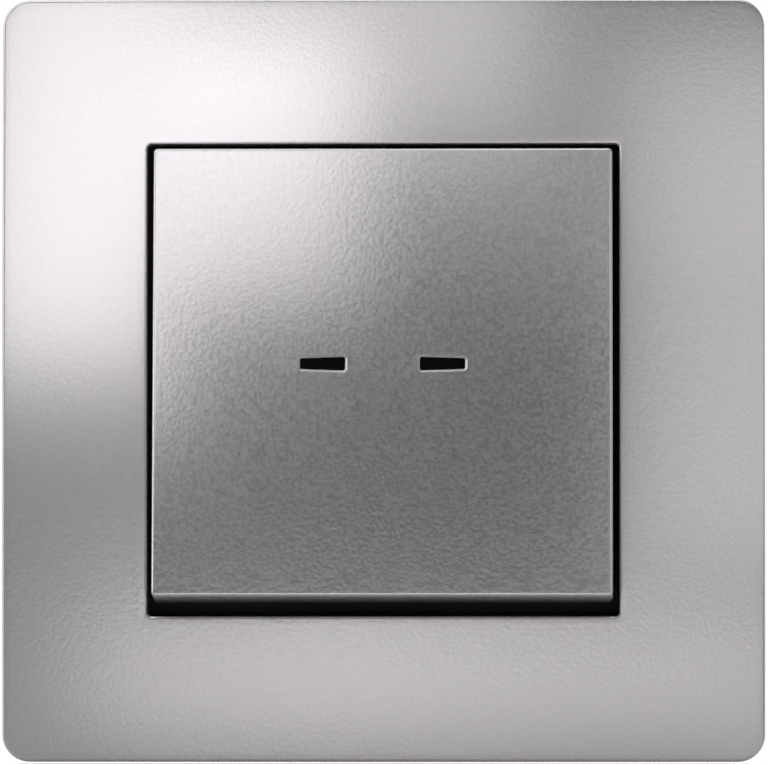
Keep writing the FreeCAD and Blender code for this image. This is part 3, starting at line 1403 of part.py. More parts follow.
doc.recompute()
for item in doc.Objects:
    if "Invalid" in item.State or "Error" in item.State:
        raise RuntimeError(f"{item.Name} failed: {item.State}")
for piece in BODIES:
    if piece.Shape.isNull() or not piece.Shape.isValid():
        raise RuntimeError(f"{piece.Label} has no valid shape")
os.makedirs("parts", exist_ok=True)
for piece in BODIES:
    piece.Shape.exportStep(f"parts/{piece.Label}.step")
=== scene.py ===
"""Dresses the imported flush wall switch: its cover frame, claw screws, return coil, finishes and stage."""

import math

import bpy
import bmesh
import numpy as np
from bpy.props import FloatProperty, FloatVectorProperty, IntProperty, PointerProperty
from bpy.types import Operator, Panel, PropertyGroup
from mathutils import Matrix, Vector


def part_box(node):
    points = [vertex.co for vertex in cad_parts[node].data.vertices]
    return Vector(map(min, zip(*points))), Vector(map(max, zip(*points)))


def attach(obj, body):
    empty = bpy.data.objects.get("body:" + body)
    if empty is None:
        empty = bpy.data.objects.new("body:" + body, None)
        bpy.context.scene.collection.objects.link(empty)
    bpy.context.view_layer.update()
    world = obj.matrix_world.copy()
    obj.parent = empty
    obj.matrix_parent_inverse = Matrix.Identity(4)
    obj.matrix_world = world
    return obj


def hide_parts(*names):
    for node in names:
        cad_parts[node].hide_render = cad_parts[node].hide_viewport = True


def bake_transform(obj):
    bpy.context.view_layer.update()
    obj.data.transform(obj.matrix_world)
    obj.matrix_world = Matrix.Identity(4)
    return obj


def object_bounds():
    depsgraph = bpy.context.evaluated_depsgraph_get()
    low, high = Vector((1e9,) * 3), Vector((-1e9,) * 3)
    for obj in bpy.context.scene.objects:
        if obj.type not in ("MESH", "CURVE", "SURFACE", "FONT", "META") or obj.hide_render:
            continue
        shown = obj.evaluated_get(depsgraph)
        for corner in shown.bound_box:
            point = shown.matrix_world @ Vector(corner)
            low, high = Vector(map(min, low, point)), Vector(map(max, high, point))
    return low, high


bl_info = {
    "name": "Flush Wall Switch",
    "version": (1, 0, 0),
    "blender": (4, 5, 0),
    "location": "View3D > Sidebar > Wall Switch",
    "description": "Builds and finishes a silver flush wall switch round its packed frame",
    "category": "Object",
}

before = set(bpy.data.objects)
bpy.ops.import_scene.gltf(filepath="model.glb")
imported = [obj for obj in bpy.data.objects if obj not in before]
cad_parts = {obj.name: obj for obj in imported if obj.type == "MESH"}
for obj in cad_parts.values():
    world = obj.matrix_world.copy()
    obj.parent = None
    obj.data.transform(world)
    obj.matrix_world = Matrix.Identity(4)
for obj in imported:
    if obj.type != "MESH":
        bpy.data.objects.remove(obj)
cad_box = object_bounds()
MM = 0.001

COVER_LOW, COVER_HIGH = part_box("cover_frame")
COVER_SIDE = COVER_HIGH.x - COVER_LOW.x

WELD = 0.001 * MM  # points closer than this become one
RIM_ROWS = 9  # rows of points over each rounding of the cover frame
FACE_ROWS = 22  # rows of points over its face, both ends counted
LATCH_SUNK = 0.3 * MM  # how far a latch's leg reaches into the frame's face
LATCH_CHAMFER = 0.2 * MM
NIB_SUNK = 0.1 * MM  # how far a nib reaches into its leg
NIB_LIP = 0.25 * MM  # height of a nib's square edge above its lead-in
HEAD_ROWS = 15  # loops of a screw's head on each side of the slot
SLOT_ROWS = 4  # loops in the slot
CHORD_POINTS = 25  # points across each loop
FRAME_SMOOTH, SCREW_SMOOTH, COIL_SMOOTH = (math.radians(angle) for angle in (32, 38, 40))
THREAD_INTO_HEAD = 0.4 * MM  # how far a shank reaches into the head
THREAD_STOP = 0.2 * MM  # where the thread ends, short of the head's seat
FLANK_STEEPNESS, FLANK_DROP = 1.6, 0.3  # cut a triangle wave into a thread with flat crests and roots
TIP_SHARE = 0.72  # radius of a shank's end as a share of the root's

FLAKE_SCALE = 2300.0  # scale of the flakes' noise over a metre
FLAKE_TONE, FLAKE_GLOSS = 0.3, 0.2  # share of the colour, and roughness, by which full grain varies
LACQUER_ROUGHNESS, LACQUER_FILM, LACQUER_CLOUD = 0.4, 0.008, 0.004
FLOOR_HALF = 3.0  # metres from the floor's middle to its edge
FLOOR_GAP = 0.3 * MM  # between the switch and the floor


def length(name, description, default, low=0.0):
    """A length in metres that a user can change."""
    return FloatProperty(name=name, description=description, default=default, min=low,
                         unit="LENGTH", subtype="DISTANCE", precision=5)


def colour(name, description, default):
    """A linear colour that a user can change."""
    return FloatVectorProperty(name=name, description=description, default=default, size=3,
                               min=0.0, max=1.0, subtype="COLOR")


def share(name, description, default, high=1.0):
    """A plain number between nothing and a limit."""
    return FloatProperty(name=name, description=description, default=default, min=0.0, max=high,
                         subtype="FACTOR")


class CoverFrameSizes(PropertyGroup):
    """The sizes of the silver cover frame and its latches."""

    side: length("Side", "Outer width and height of the cover frame", COVER_SIDE)
    corner: length("Corner", "Radius of the outer corners", 2.9 * MM)
    wall: length("Wall", "Thickness of the side walls", 1.8 * MM)
    apex: length("Apex", "Level of the crowned front at the middle of the frame", 10.3486 * MM)
    crown: length("Crown", "Radius of the crowned front", 900.0 * MM)
    edge: length("Outer edge", "Rounding of the outer front edge", 0.32 * MM)
    opening: length("Opening", "Width and height of the opening", 50.1 * MM)
    opening_corner: length("Opening corner", "Radius of the opening's corners", 0.5 * MM)
    opening_edge: length("Opening edge", "Rounding of the opening's front edge", 0.35 * MM)
    inside: length("Inside", "Level of the back of the frame's face", 7.6 * MM)
    latch_out: length("Latch place", "Distance of a latch from the middle", 30.0 * MM)
    latch_up: length("Latch height", "Height of a latch above or below the middle", 13.0 * MM)
    latch_wide: length("Latch width", "Width of a latch", 6.0 * MM)
    latch_thick: length("Latch thickness", "Thickness of a latch", 1.2 * MM)
    latch_back: length("Latch end", "Level at which a latch ends", 2.7 * MM)
    nib: length("Nib", "Reach of a latch's nib", 0.5 * MM)
    nib_tall: length("Nib height", "Height of a latch's nib", 0.8 * MM)
    corner_steps: IntProperty(name="Corner steps", description="Quads round each corner",
                              default=14, min=4, max=64)
    side_steps: IntProperty(name="Side steps", description="Quads along each side",
                            default=30, min=4, max=200)


class ClawScrewSizes(PropertyGroup):
    """The sizes of the two claw screws."""

    out: length("Place", "Distance of a claw screw from the middle", 20.7 * MM)
    down: length("Height", "Distance of a claw screw below the middle", 9.0 * MM)
    seat: length("Seat", "Level on which the head rests", 1.5 * MM)
    head: length("Head radius", "Radius of the head", 2.2 * MM)
    head_top: length("Head top", "Level of the top of the head", 3.0 * MM)
    head_edge: length("Head edge", "Rounding of the head", 0.4 * MM)
    slot: length("Slot width", "Width of the slot in the head", 0.5 * MM)
    slot_deep: length("Slot depth", "Depth of the slot in the head", 0.75 * MM)
    crest: length("Crest radius", "Outer radius of the thread", 1.5 * MM)
    root: length("Root radius", "Inner radius of the thread", 1.22 * MM)
    pitch: length("Pitch", "Pitch of the thread", 0.6 * MM)
    tip: length("Tip", "How far the screw reaches behind the wall plane", 11.0 * MM)
    round_steps: IntProperty(name="Round steps", description="Quads round the shank",
                             default=36, min=8, max=96)
    turn_rows: IntProperty(name="Rows a turn", description="Rows of quads in each turn of the thread",
                           default=9, min=4, max=24)


class ReturnCoilSizes(PropertyGroup):
    """The sizes of the coil that returns the plunger."""

    down: length("Height", "Distance of the coil's axis below the middle", 12.0 * MM)
    radius: length("Mean radius", "Distance of the wire's middle from the coil's axis", 2.7 * MM)
    wire: length("Wire", "Diameter of the wire", 0.6 * MM)
    front: length("Front", "How far the coil's moving end lies behind the wall plane", 7.0 * MM)
    back: length("Back", "How far the coil's fixed end lies behind the wall plane", 21.2 * MM)
    turns: FloatProperty(name="Turns", description="Turns of the coil", default=4.5, min=1.0, max=20.0)
    turn_steps: IntProperty(name="Steps a turn", description="Quads along each turn of the wire",
                            default=36, min=8, max=96)
    round_steps: IntProperty(name="Steps round the wire", description="Quads round the wire",
                             default=12, min=6, max=32)


class SwitchColours(PropertyGroup):
    """The colours of the finishes."""

    lacquer: colour("Lacquer", "Silver lacquer of the key and the cover frame", (0.603, 0.580, 0.603))
    grain: share("Lacquer grain", "Strength of the lacquer's metallic grain", 0.5)
    # black plastic behind the key: partly the plastic's own colour, partly painted shade that darkens the
    # narrow gap round the key
    black: colour("Black moulding", "Black plastic behind and under the key", (0.012, 0.012, 0.013))
    cover: colour("Dark grey moulding", "Dark plastic that closes the contact chamber", (0.06, 0.06, 0.065))
    lens: colour("Smoked lens", "Dark lens of a lamp window", (0.004, 0.004, 0.005))
    base: colour("Light grey moulding", "Plastic of the base", (0.66, 0.66, 0.64))
    plunger: colour("Natural moulding", "Plastic of the plunger", (0.76, 0.75, 0.69))
    release: colour("Orange moulding", "Plastic of the release buttons", (0.78, 0.26, 0.04))
    zinc: colour("Zinc", "Zinc coat of the bridge", (0.62, 0.64, 0.655))
    steel: colour("Spring steel", "Springs and clamps", (0.50, 0.505, 0.52))
    brass: colour("Brass", "Terminals and contact strip", (0.78, 0.59, 0.29))
    silver: colour("Contact silver", "Contact points", (0.86, 0.86, 0.84))
    board: colour("Laminate", "Lamp board", (0.05, 0.24, 0.12))
    lamp: colour("Lamp case", "Clouded plastic of the lamps", (0.84, 0.81, 0.66))
    ceramic: colour("Ceramic", "Lamp resistors", (0.06, 0.06, 0.07))
    tin: colour("Tin", "Coat of the lamp leads", (0.7, 0.7, 0.68))


class SwitchStage(PropertyGroup):
    """The camera, the lamps and the room."""

    distance: length("Camera distance", "Distance from the camera to the front of the frame", 0.9)
    azimuth: FloatProperty(name="Camera azimuth", description="How far the camera stands to the right",
                           default=math.radians(1.4), subtype="ANGLE", unit="ROTATION")
    elevation: FloatProperty(name="Camera elevation",
                             description="How far the camera stands above the middle",
                             default=math.radians(-1.8), subtype="ANGLE", unit="ROTATION")
    lens: FloatProperty(name="Lens", description="Focal length on a 36 mm sensor", default=397.3,
                        min=1.0, subtype="NONE")
    aim: FloatVectorProperty(name="Aim", description="Point that the camera looks at", size=3,
                             default=(0.0862 * MM, -9.0 * MM, -0.2011 * MM), subtype="TRANSLATION",
                             unit="LENGTH", precision=6)
    lamps: share("Lamps", "Level of all lamps", 1.0, high=10.0)
    room: share("Room", "Plain light from the room on matt surfaces", 0.35, high=4.0)
    room_behind: share("Room behind", "Plain light on matt surfaces from behind the switch", 1.1, high=4.0)
    dusk: share("Room in front", "Brightness of the room that gloss shows ahead", 0.03, high=2.0)
    beside: share("Room beside", "Brightness of the room that gloss shows beside the switch", 0.5, high=2.0)
    window: share("Room at the upper left", "Brightness of the room that gloss shows to the upper left", 3.0,
                  high=4.0)
    floor: colour("Floor", "Pale floor", (0.86, 0.86, 0.855))
    floor_glow: share("Floor glow", "Light that only the camera sees on the floor, which whitens it", 0.5)


# Meshes


def grid_quads(rows, columns, wrap_rows=False, wrap_columns=False):
    """Corner numbers of the quads between the points of a grid that are numbered row by row."""
    row = np.arange(rows if wrap_rows else rows - 1)
    column = np.arange(columns if wrap_columns else columns - 1)
    row, column = np.meshgrid(row, column, indexing="ij")
    after, beside = (row + 1) % rows, (column + 1) % columns
    here, below = row * columns, after * columns
    return np.stack([here + column, here + beside, below + beside, below + column], axis=-1).reshape(-1, 4)


def facing_out(points, quads):
    """The quads, turned over if the shell's volume is negative. Six times the volume is the sum over
    triangles of a . (b x c)."""
    a, b, c, d = (points[quads[:, corner]] for corner in range(4))
    volume = (a * np.cross(b, c)).sum() + (a * np.cross(c, d)).sum()
    return quads if volume > 0 else quads[:, ::-1]


def closed_piece(name, shells, smooth_below):
    """One object from closed shells of points (x, level, z) in metres. A level is a distance ahead of the
    wall. Edges between faces that turn by more than the last angle stay sharp."""
    points, quads, start = [], [], 0
    for shell, corners in shells:
        placed = shell * np.array([1.0, -1.0, 1.0])
        points.append(placed)
        quads.append(facing_out(placed, corners) + start)
        start += len(shell)
    mesh = bpy.data.meshes.new(name)
    mesh.from_pydata(np.concatenate(points).tolist(), [], np.concatenate(quads).tolist())
    shaped = bmesh.new()
    shaped.from_mesh(mesh)
    bmesh.ops.remove_doubles(shaped, verts=shaped.verts, dist=WELD)
    shaped.to_mesh(mesh)
    shaped.free()
    mesh.validate()
    mesh.shade_smooth()
    mesh.set_sharp_from_angle(angle=smooth_below)
    made = bpy.data.objects.new(name, mesh)
    bpy.context.scene.collection.objects.link(made)
    return made


def square_path(corner_steps, side_steps):
    """Two unit paths round a square. One goes from corner to corner and waits at each corner. The other is
    the outward direction, which turns at each corner and waits along each side. A rounded square is
    (half - radius) times the first plus radius times the second."""
    corners = np.array([(1.0, 1.0), (-1.0, 1.0), (-1.0, -1.0), (1.0, -1.0)])
    turn = np.linspace(0, math.pi / 2, corner_steps + 1)
    along = np.linspace(0, 1, side_steps + 1)[1:-1, None]
    places, ways = [], []
    for quarter in range(4):
        here, there = corners[quarter], corners[(quarter + 1) % 4]
        angles = turn + quarter * math.pi / 2
        last = np.array([math.cos(angles[-1]), math.sin(angles[-1])])
        places += [np.repeat(here[None], corner_steps + 1, axis=0), here + along * (there - here)]
        turning = np.stack([np.cos(angles), np.sin(angles)], axis=1)
        ways += [turning, np.repeat(last[None], len(along), axis=0)]
    return np.concatenate(places), np.concatenate(ways)


def frame_profile(sizes):
    """The frame's profile as rows of half-width, corner radius, drop below the crown, and fixed level, which
    is used where it is a number. It goes over the outer rounding, the face and the opening's rounding, then
    down the opening, behind the face and round the foot of the wall."""
    half, hole = sizes.side / 2, sizes.opening / 2
    quarter = np.linspace(0, math.pi / 2, RIM_ROWS)
    crowned = np.full(len(quarter), np.nan)
    outer = sizes.edge * (1 - np.cos(quarter))
    rim = np.stack([half - outer, sizes.corner - outer, sizes.edge * (1 - np.sin(quarter)), crowned], axis=1)
    lip = sizes.opening_edge * (1 - np.sin(quarter))
    drop = sizes.opening_edge * (1 - np.cos(quarter))
    mouth = np.stack([hole + lip, sizes.opening_corner + lip, drop, crowned], axis=1)
    across = np.linspace(0, 1, FACE_ROWS)[1:-1, None]
    face = rim[-1] + across * (mouth[0] - rim[-1])
    inner = half - sizes.wall
    inner_corner = sizes.corner - sizes.wall
    back = np.array([(hole, sizes.opening_corner, 0, sizes.inside), (inner, inner_corner, 0, sizes.inside),
                     (inner, inner_corner, 0, 0), (half, sizes.corner, 0, 0)])
    return np.concatenate([rim, face, mouth, back])


def frame_shell(sizes):
    """The frame's profile carried round rounded squares. On the face the level is the apex less
    (x squared + z squared) over twice the crown's radius, less the profile's drop."""
    place, way = square_path(sizes.corner_steps, sizes.side_steps)
    profile = frame_profile(sizes)
    half, radius, drop, fixed = (profile[:, k, None] for k in range(4))
    x = (half - radius) * place[:, 0] + radius * way[:, 0]
    z = (half - radius) * place[:, 1] + radius * way[:, 1]
    level = sizes.apex - (x**2 + z**2) / (2 * sizes.crown) - drop
    level = np.where(np.isnan(fixed), level, fixed)
    points = np.stack([x, level, z], axis=-1).reshape(-1, 3)
    return points, grid_quads(len(profile), len(place), wrap_rows=True, wrap_columns=True)


def prism(outline, low, high):
    """An outline of (x, level) carried from one height to another, and closed at each end to its middle."""
    middle = np.repeat(outline.mean(axis=0)[None], len(outline), axis=0)
    rings = np.stack([middle, outline, outline, middle])
    heights = np.broadcast_to(np.array([low, low, high, high])[:, None], rings.shape[:2])
    points = np.stack([rings[..., 0], rings[..., 1], heights], axis=-1).reshape(-1, 3)
    return points, grid_quads(4, len(outline), wrap_columns=True)


def latch_shells(sizes):
    """Four latches, each a leg and a nib with a sloped lead-in: outlines carried across the latch's width."""
    inner = sizes.latch_out - sizes.latch_thick / 2
    outer = sizes.latch_out + sizes.latch_thick / 2
    root = sizes.inside + LATCH_SUNK
    tip = sizes.latch_back
    nib_top = tip + sizes.nib_tall
    leg = np.array([(inner, root), (outer, root), (outer, tip + LATCH_CHAMFER), (outer - LATCH_CHAMFER, tip),
                    (inner + LATCH_CHAMFER, tip), (inner, tip + LATCH_CHAMFER)])
    nib = np.array([(outer - NIB_SUNK, nib_top), (outer + sizes.nib, nib_top),
                    (outer + sizes.nib, nib_top - NIB_LIP), (outer - NIB_SUNK, tip)])
    half = sizes.latch_wide / 2
    return [prism(outline * np.array([side, 1.0]), up - half, up + half)
            for side in (1, -1) for up in (sizes.latch_up, -sizes.latch_up) for outline in (leg, nib)]


def slotted_head(sizes, across, up):
    """A screw's head: loops of (x, level) lofted along z. Each loop is as wide as the circle's chord there.
    Its upper side is the top, less a rounding near the rim, and is lowered between the slot's two sides."""
    radius, half = sizes.head, sizes.slot / 2
    start = math.acos(half / radius)
    outer = radius * np.cos(np.linspace(0, start, HEAD_ROWS))
    z = np.concatenate([-outer, np.linspace(-half, half, SLOT_ROWS), outer[::-1]])
    sunk = np.concatenate([np.zeros(HEAD_ROWS), np.ones(SLOT_ROWS), np.zeros(HEAD_ROWS)])[:, None]
    chord = np.sqrt(np.maximum(radius**2 - z**2, 0))[:, None]
    x = chord * np.sin(np.linspace(-math.pi / 2, math.pi / 2, CHORD_POINTS))
    rim = np.clip((np.hypot(x, z[:, None]) - radius) / sizes.head_edge + 1, 0, 1)
    top = sizes.head_top - sizes.head_edge * (1 - np.sqrt(1 - rim**2))
    top = np.where(sunk > 0, sizes.head_top - sizes.slot_deep, top)
    x = np.concatenate([x, x[:, ::-1]], axis=1)
    level = np.concatenate([top, np.full_like(top, sizes.seat)], axis=1)
    height = np.broadcast_to(z[:, None], x.shape)
    points = np.stack([x + across, level, height + up], axis=-1).reshape(-1, 3)
    return points, grid_quads(*x.shape, wrap_columns=True)


def threaded_shank(sizes, across, up):
    """A shank of one helical thread. The radius at a level and an angle is the root plus the thread's height
    times a triangle wave of level over pitch less angle over a full turn. It narrows towards both ends."""
    turns = (sizes.tip + sizes.seat) / sizes.pitch
    level = np.linspace(-sizes.tip, sizes.seat + THREAD_INTO_HEAD, int(turns * sizes.turn_rows))[:, None]
    angle = np.linspace(0, 2 * math.pi, sizes.round_steps, endpoint=False)[None]
    phase = (level / sizes.pitch - angle / (2 * math.pi)) % 1.0
    wave = np.clip(FLANK_STEEPNESS * (1 - 2 * np.abs(phase - 0.5)) - FLANK_DROP, 0, 1)
    from_tip = level + sizes.tip
    started = np.clip(from_tip / (2 * sizes.pitch), 0, 1)
    ended = np.clip((sizes.seat - THREAD_STOP - level) / sizes.pitch, 0, 1)
    radius = sizes.root + (sizes.crest - sizes.root) * wave * started * ended
    radius = np.minimum(radius, sizes.root * TIP_SHARE + from_tip)
    radius[0], radius[-1] = 0.0, 0.0
    level = np.broadcast_to(level, radius.shape)
    points = np.stack([across + radius * np.cos(angle), level, up + radius * np.sin(angle)], axis=-1)
    return points.reshape(-1, 3), grid_quads(*radius.shape, wrap_columns=True)


def coil_shell(sizes):
    """A round wire along a helix. At an angle the wire's middle is at the mean radius from the axis, and its
    level falls from the front end to the back end in proportion to the angle. Both ends close to a point."""
    steps = int(sizes.turns * sizes.turn_steps)
    share_done = np.linspace(0, 1, steps + 1)[:, None]
    angle = 2 * math.pi * sizes.turns * share_done
    around = np.linspace(0, 2 * math.pi, sizes.round_steps, endpoint=False)[None]
    thick = np.pad(np.full((steps + 1, 1), sizes.wire / 2), ((1, 1), (0, 0)))
    angle, share_done = (np.pad(row, ((1, 1), (0, 0)), mode="edge") for row in (angle, share_done))
    radius = sizes.radius + thick * np.cos(around)
    run = sizes.back - sizes.front - sizes.wire
    level = -sizes.front - sizes.wire / 2 - run * share_done + thick * np.sin(around)
    points = np.stack([radius * np.cos(angle), level, -sizes.down - radius * np.sin(angle)], axis=-1)
    return points.reshape(-1, 3), grid_quads(*radius.shape, wrap_columns=True)


# Finishes


class Graph:
    """Adds nodes to a tree. An input takes a number, a colour or another node's output."""

    def __init__(self, tree):
        self.tree = tree

    def add(self, kind, inputs=None, **settings):
        """A node of one kind, with its inputs by name or number and its settings."""
        node = self.tree.nodes.new("ShaderNode" + kind)
        for name, value in settings.items():
            setattr(node, name, value)
        for name, value in (inputs or {}).items():
            self.give(node.inputs[name], value)
        return node

    def give(self, socket, value):
        """Links an output to a socket, or sets a plain value on it."""
        if isinstance(value, bpy.types.NodeSocket):
            self.tree.links.new(value, socket)
        else:
            socket.default_value = value

    def noise(self, vector, scale, detail=2.0, rough=0.55, distortion=0.0):
        """A noise about one half."""
        inputs = {"Vector": vector, "Scale": scale, "Detail": detail, "Roughness": rough}
        return self.add("TexNoise", {**inputs, "Distortion": distortion}).outputs[0]

    def span(self, value, low, high, new_low, new_high, smooth=False):
        """A value moved from one span to another, and held at its ends."""
        kind = "SMOOTHSTEP" if smooth else "LINEAR"
        inputs = {0: value, 1: low, 2: high, 3: new_low, 4: new_high}
        return self.add("MapRange", inputs, interpolation_type=kind).outputs[0]

    def calc(self, kind, left, right):
        """One step of arithmetic, such as ADD, MULTIPLY or MAXIMUM."""
        return self.add("Math", {0: left, 1: right}, operation=kind).outputs[0]

    def mixed(self, first, first_share, second, second_share):
        """Two values added, each times its share."""
        shares = (self.calc("MULTIPLY", *pair) for pair in ((first, first_share), (second, second_share)))
        return self.calc("ADD", *shares)

    def blend(self, mask, low, high):
        """The first colour where the mask is 0, the second where it is 1."""
        made = self.add("Mix", {0: mask, 6: (*low, 1.0), 7: (*high, 1.0)}, data_type="RGBA")
        return made.outputs[2]

    def relief(self, height, strength, distance):
        """A normal tilted by a height; the distance is the height's depth in metres."""
        return self.add("Bump", {"Height": height, "Strength": strength, "Distance": distance}).outputs[0]


def effect(name, inputs, outputs):
    """An empty node group with named sockets: the group, a graph that adds to it, its inputs and outputs."""
    group = bpy.data.node_groups.new(name, "ShaderNodeTree")
    for socket, default in inputs:
        vector = default is None
        kind = "NodeSocketVector" if vector else "NodeSocketFloat"
        made = group.interface.new_socket(socket, in_out="INPUT", socket_type=kind)
        if not vector:
            made.default_value = default
    for socket in outputs:
        kind = "NodeSocketVector" if socket == "Normal" else "NodeSocketFloat"
        group.interface.new_socket(socket, in_out="OUTPUT", socket_type=kind)
    graph = Graph(group)
    source = group.nodes.new("NodeGroupInput")
    sink = group.nodes.new("NodeGroupOutput")
    return group, graph, source.outputs, sink.inputs


def metal_flake():
    """Flakes in lacquer: fine noise for their tone and for the relief that tilts them, and slow clouds."""
    sockets = (("Vector", None), ("Scale", FLAKE_SCALE), ("Depth", 1e-5))
    group, graph, given, result = effect("metal_flake", sockets, ("Tone", "Cloud", "Normal"))
    fine = graph.noise(given["Vector"], given["Scale"], detail=1.0, rough=0.4)
    cloud = graph.noise(given["Vector"], graph.calc("MULTIPLY", given["Scale"], 0.012), detail=3.0)
    graph.give(result["Tone"], graph.span(fine, 0.32, 0.68, 0.0, 1.0))
    graph.give(result["Cloud"], graph.span(cloud, 0.3, 0.7, 0.0, 1.0))
    graph.give(result["Normal"], graph.relief(fine, 1.0, given["Depth"]))
    return group


def moulded_skin():
    """The skin of a moulding: spark-eroded texture in the relief and slow flow marks in the tone."""
    sockets = (("Vector", None), ("Scale", 2400.0), ("Depth", 1.2e-5))
    group, graph, given, result = effect("moulded_skin", sockets, ("Tone", "Flow", "Normal"))
    pits = graph.noise(given["Vector"], given["Scale"], detail=3.0, rough=0.65)
    slow = graph.calc("MULTIPLY", given["Scale"], 0.05)
    flow = graph.noise(given["Vector"], slow, detail=2.0, distortion=1.2)
    graph.give(result["Tone"], graph.span(pits, 0.3, 0.7, 0.0, 1.0))
    graph.give(result["Flow"], graph.span(flow, 0.3, 0.7, 0.0, 1.0))
    graph.give(result["Normal"], graph.relief(pits, 1.0, given["Depth"]))
    return group


def zinc_spangle():
    """Zinc crystals: random tones in the cells of a crystal pattern, with feathered streaks inside them."""
    sockets = (("Vector", None), ("Scale", 420.0), ("Depth", 6e-6))
    group, graph, given, result = effect("zinc_spangle", sockets, ("Tone", "Streak", "Normal"))
    noise = graph.add("TexNoise", {"Vector": given["Vector"], "Scale": given["Scale"], "Detail": 2.0})
    bent = noise.outputs["Color"]
    shifted = graph.add("VectorMath", {0: bent, 1: (0.0007, 0.0007, 0.0007)}, operation="MULTIPLY").outputs[0]
    place = graph.add("VectorMath", {0: given["Vector"], 1: shifted}, operation="ADD").outputs[0]
    cells = graph.add("TexVoronoi", {"Vector": place, "Scale": given["Scale"]})
    tone = graph.add("SeparateColor", {0: cells.outputs["Color"]})
    turn = {"Vector": given["Vector"], "Angle": graph.calc("MULTIPLY", tone.outputs[1], 6.2)}
    turned = graph.add("VectorRotate", turn, rotation_type="AXIS_ANGLE")
    stretched = graph.add("Mapping", {"Vector": turned.outputs[0], "Scale": (1.0, 1.0, 7.0)}).outputs[0]
    streak = graph.noise(stretched, graph.calc("MULTIPLY", given["Scale"], 2.2), detail=3.0)
    height = graph.calc("ADD", graph.calc("MULTIPLY", tone.outputs[0], 0.5), streak)
    graph.give(result["Tone"], tone.outputs[0])
    graph.give(result["Streak"], graph.span(streak, 0.3, 0.7, 0.0, 1.0))
    graph.give(result["Normal"], graph.relief(height, 0.6, given["Depth"]))
    return group


def rolled_grain():
    """The grain of rolled or drawn metal: noise stretched along one direction, and slow stains."""
    sockets = (("Vector", None), ("Scale", 900.0), ("Depth", 4e-6))
    group, graph, given, result = effect("rolled_grain", sockets, ("Tone", "Stain", "Normal"))
    lengthwise = graph.add("Mapping", {"Vector": given["Vector"], "Scale": (1.0, 1.0, 0.06)}).outputs[0]
    grain = graph.noise(lengthwise, given["Scale"], detail=4.0, rough=0.7)
    stain = graph.noise(given["Vector"], graph.calc("MULTIPLY", given["Scale"], 0.2), detail=3.0)
    graph.give(result["Tone"], graph.span(grain, 0.3, 0.7, 0.0, 1.0))
    graph.give(result["Stain"], graph.span(stain, 0.35, 0.7, 0.0, 1.0))
    graph.give(result["Normal"], graph.relief(grain, 1.0, given["Depth"]))
    return group


def handling():
    """Faint finger film and dust: two slow noises multiplied, as a mask."""
    group, graph, given, result = effect("handling", (("Vector", None), ("Scale", 60.0)), ("Film",))
    broad = graph.noise(given["Vector"], given["Scale"], detail=3.0, distortion=0.6)
    small = graph.noise(given["Vector"], graph.calc("MULTIPLY", given["Scale"], 7.0), detail=4.0)
    broad, small = graph.span(broad, 0.35, 0.7, 0.0, 1.0), graph.span(small, 0.3, 0.7, 0.4, 1.0)
    graph.give(result["Film"], graph.calc("MULTIPLY", broad, small))
    return group


EFFECTS = {}


def shared_effects():
    """Builds each shared effect once."""
    for build in (metal_flake, moulded_skin, zinc_spangle, rolled_grain, handling):
        EFFECTS.setdefault(build.__name__, build())


class Finish(Graph):
    """A material with one Principled BSDF; plain values are set on its own sockets."""

    def __init__(self, name, **plain):
        self.material = bpy.data.materials.new(name)
        self.material.use_nodes = True
        super().__init__(self.material.node_tree)
        self.shader = self.tree.nodes["Principled BSDF"]
        self.place = self.add("TexCoord").outputs["Object"]
        for socket, value in plain.items():
            self.shader.inputs[socket.replace("_", " ")].default_value = value

    def effect(self, name, **values):
        """Places a shared effect with its own values, and returns what the effect puts out."""
        node = self.tree.nodes.new("ShaderNodeGroup")
        node.node_tree = EFFECTS[name]
        values.setdefault("Vector", self.place)
        for socket, value in values.items():
            self.give(node.inputs[socket], value)
        return node.outputs

    def feed(self, **sockets):
        """Links or sets the shader's sockets, and returns the finished material."""
        for socket, value in sockets.items():
            self.give(self.shader.inputs[socket.replace("_", " ")], value)
        return self.material


def scaled(shade, factor):
    """A colour made darker or lighter."""
    return tuple(min(1.0, part * factor) for part in shade)


def silver_lacquer(name, shade, depth, grain):
    """Satin silver lacquer: metallic, with flakes that vary in colour, gloss and tilt, and slow clouds. The
    depth in metres is the flakes' relief, and the grain scales the other two."""
    finish = Finish(name, Metallic=1.0)
    flake = finish.effect("metal_flake", Scale=FLAKE_SCALE, Depth=depth)
    film = finish.effect("handling", Scale=45.0)
    tone, gloss = FLAKE_TONE * grain, FLAKE_GLOSS * grain
    tint = finish.blend(flake["Tone"], scaled(shade, 1 - tone), scaled(shade, 1 + tone))
    dulled = finish.span(film["Film"], 0.0, 1.0, LACQUER_ROUGHNESS, LACQUER_ROUGHNESS + LACQUER_FILM)
    clouded = finish.calc("ADD", dulled, finish.span(flake["Cloud"], 0.0, 1.0, -LACQUER_CLOUD, LACQUER_CLOUD))
    roughness = finish.calc("ADD", clouded, finish.span(flake["Tone"], 0.0, 1.0, -gloss, gloss))
    return finish.feed(Base_Color=tint, Roughness=roughness, Normal=flake["Normal"])


def moulding(name, shade, rough, gloss=0.5, spread=0.1):
    """Moulded plastic: spark-eroded skin, slow flow marks and a faint film of handling."""
    finish = Finish(name, Specular_IOR_Level=gloss)
    skin = finish.effect("moulded_skin")
    film = finish.effect("handling")
    mask = finish.mixed(skin["Flow"], 0.7, skin["Tone"], 0.3)
    tint = finish.blend(mask, scaled(shade, 1 - spread), scaled(shade, 1 + spread))
    roughness = finish.calc("ADD", finish.span(skin["Tone"], 0.0, 1.0, rough - 0.04, rough + 0.04),
                            finish.calc("MULTIPLY", film["Film"], 0.12))
    return finish.feed(Base_Color=tint, Roughness=roughness, Normal=skin["Normal"])


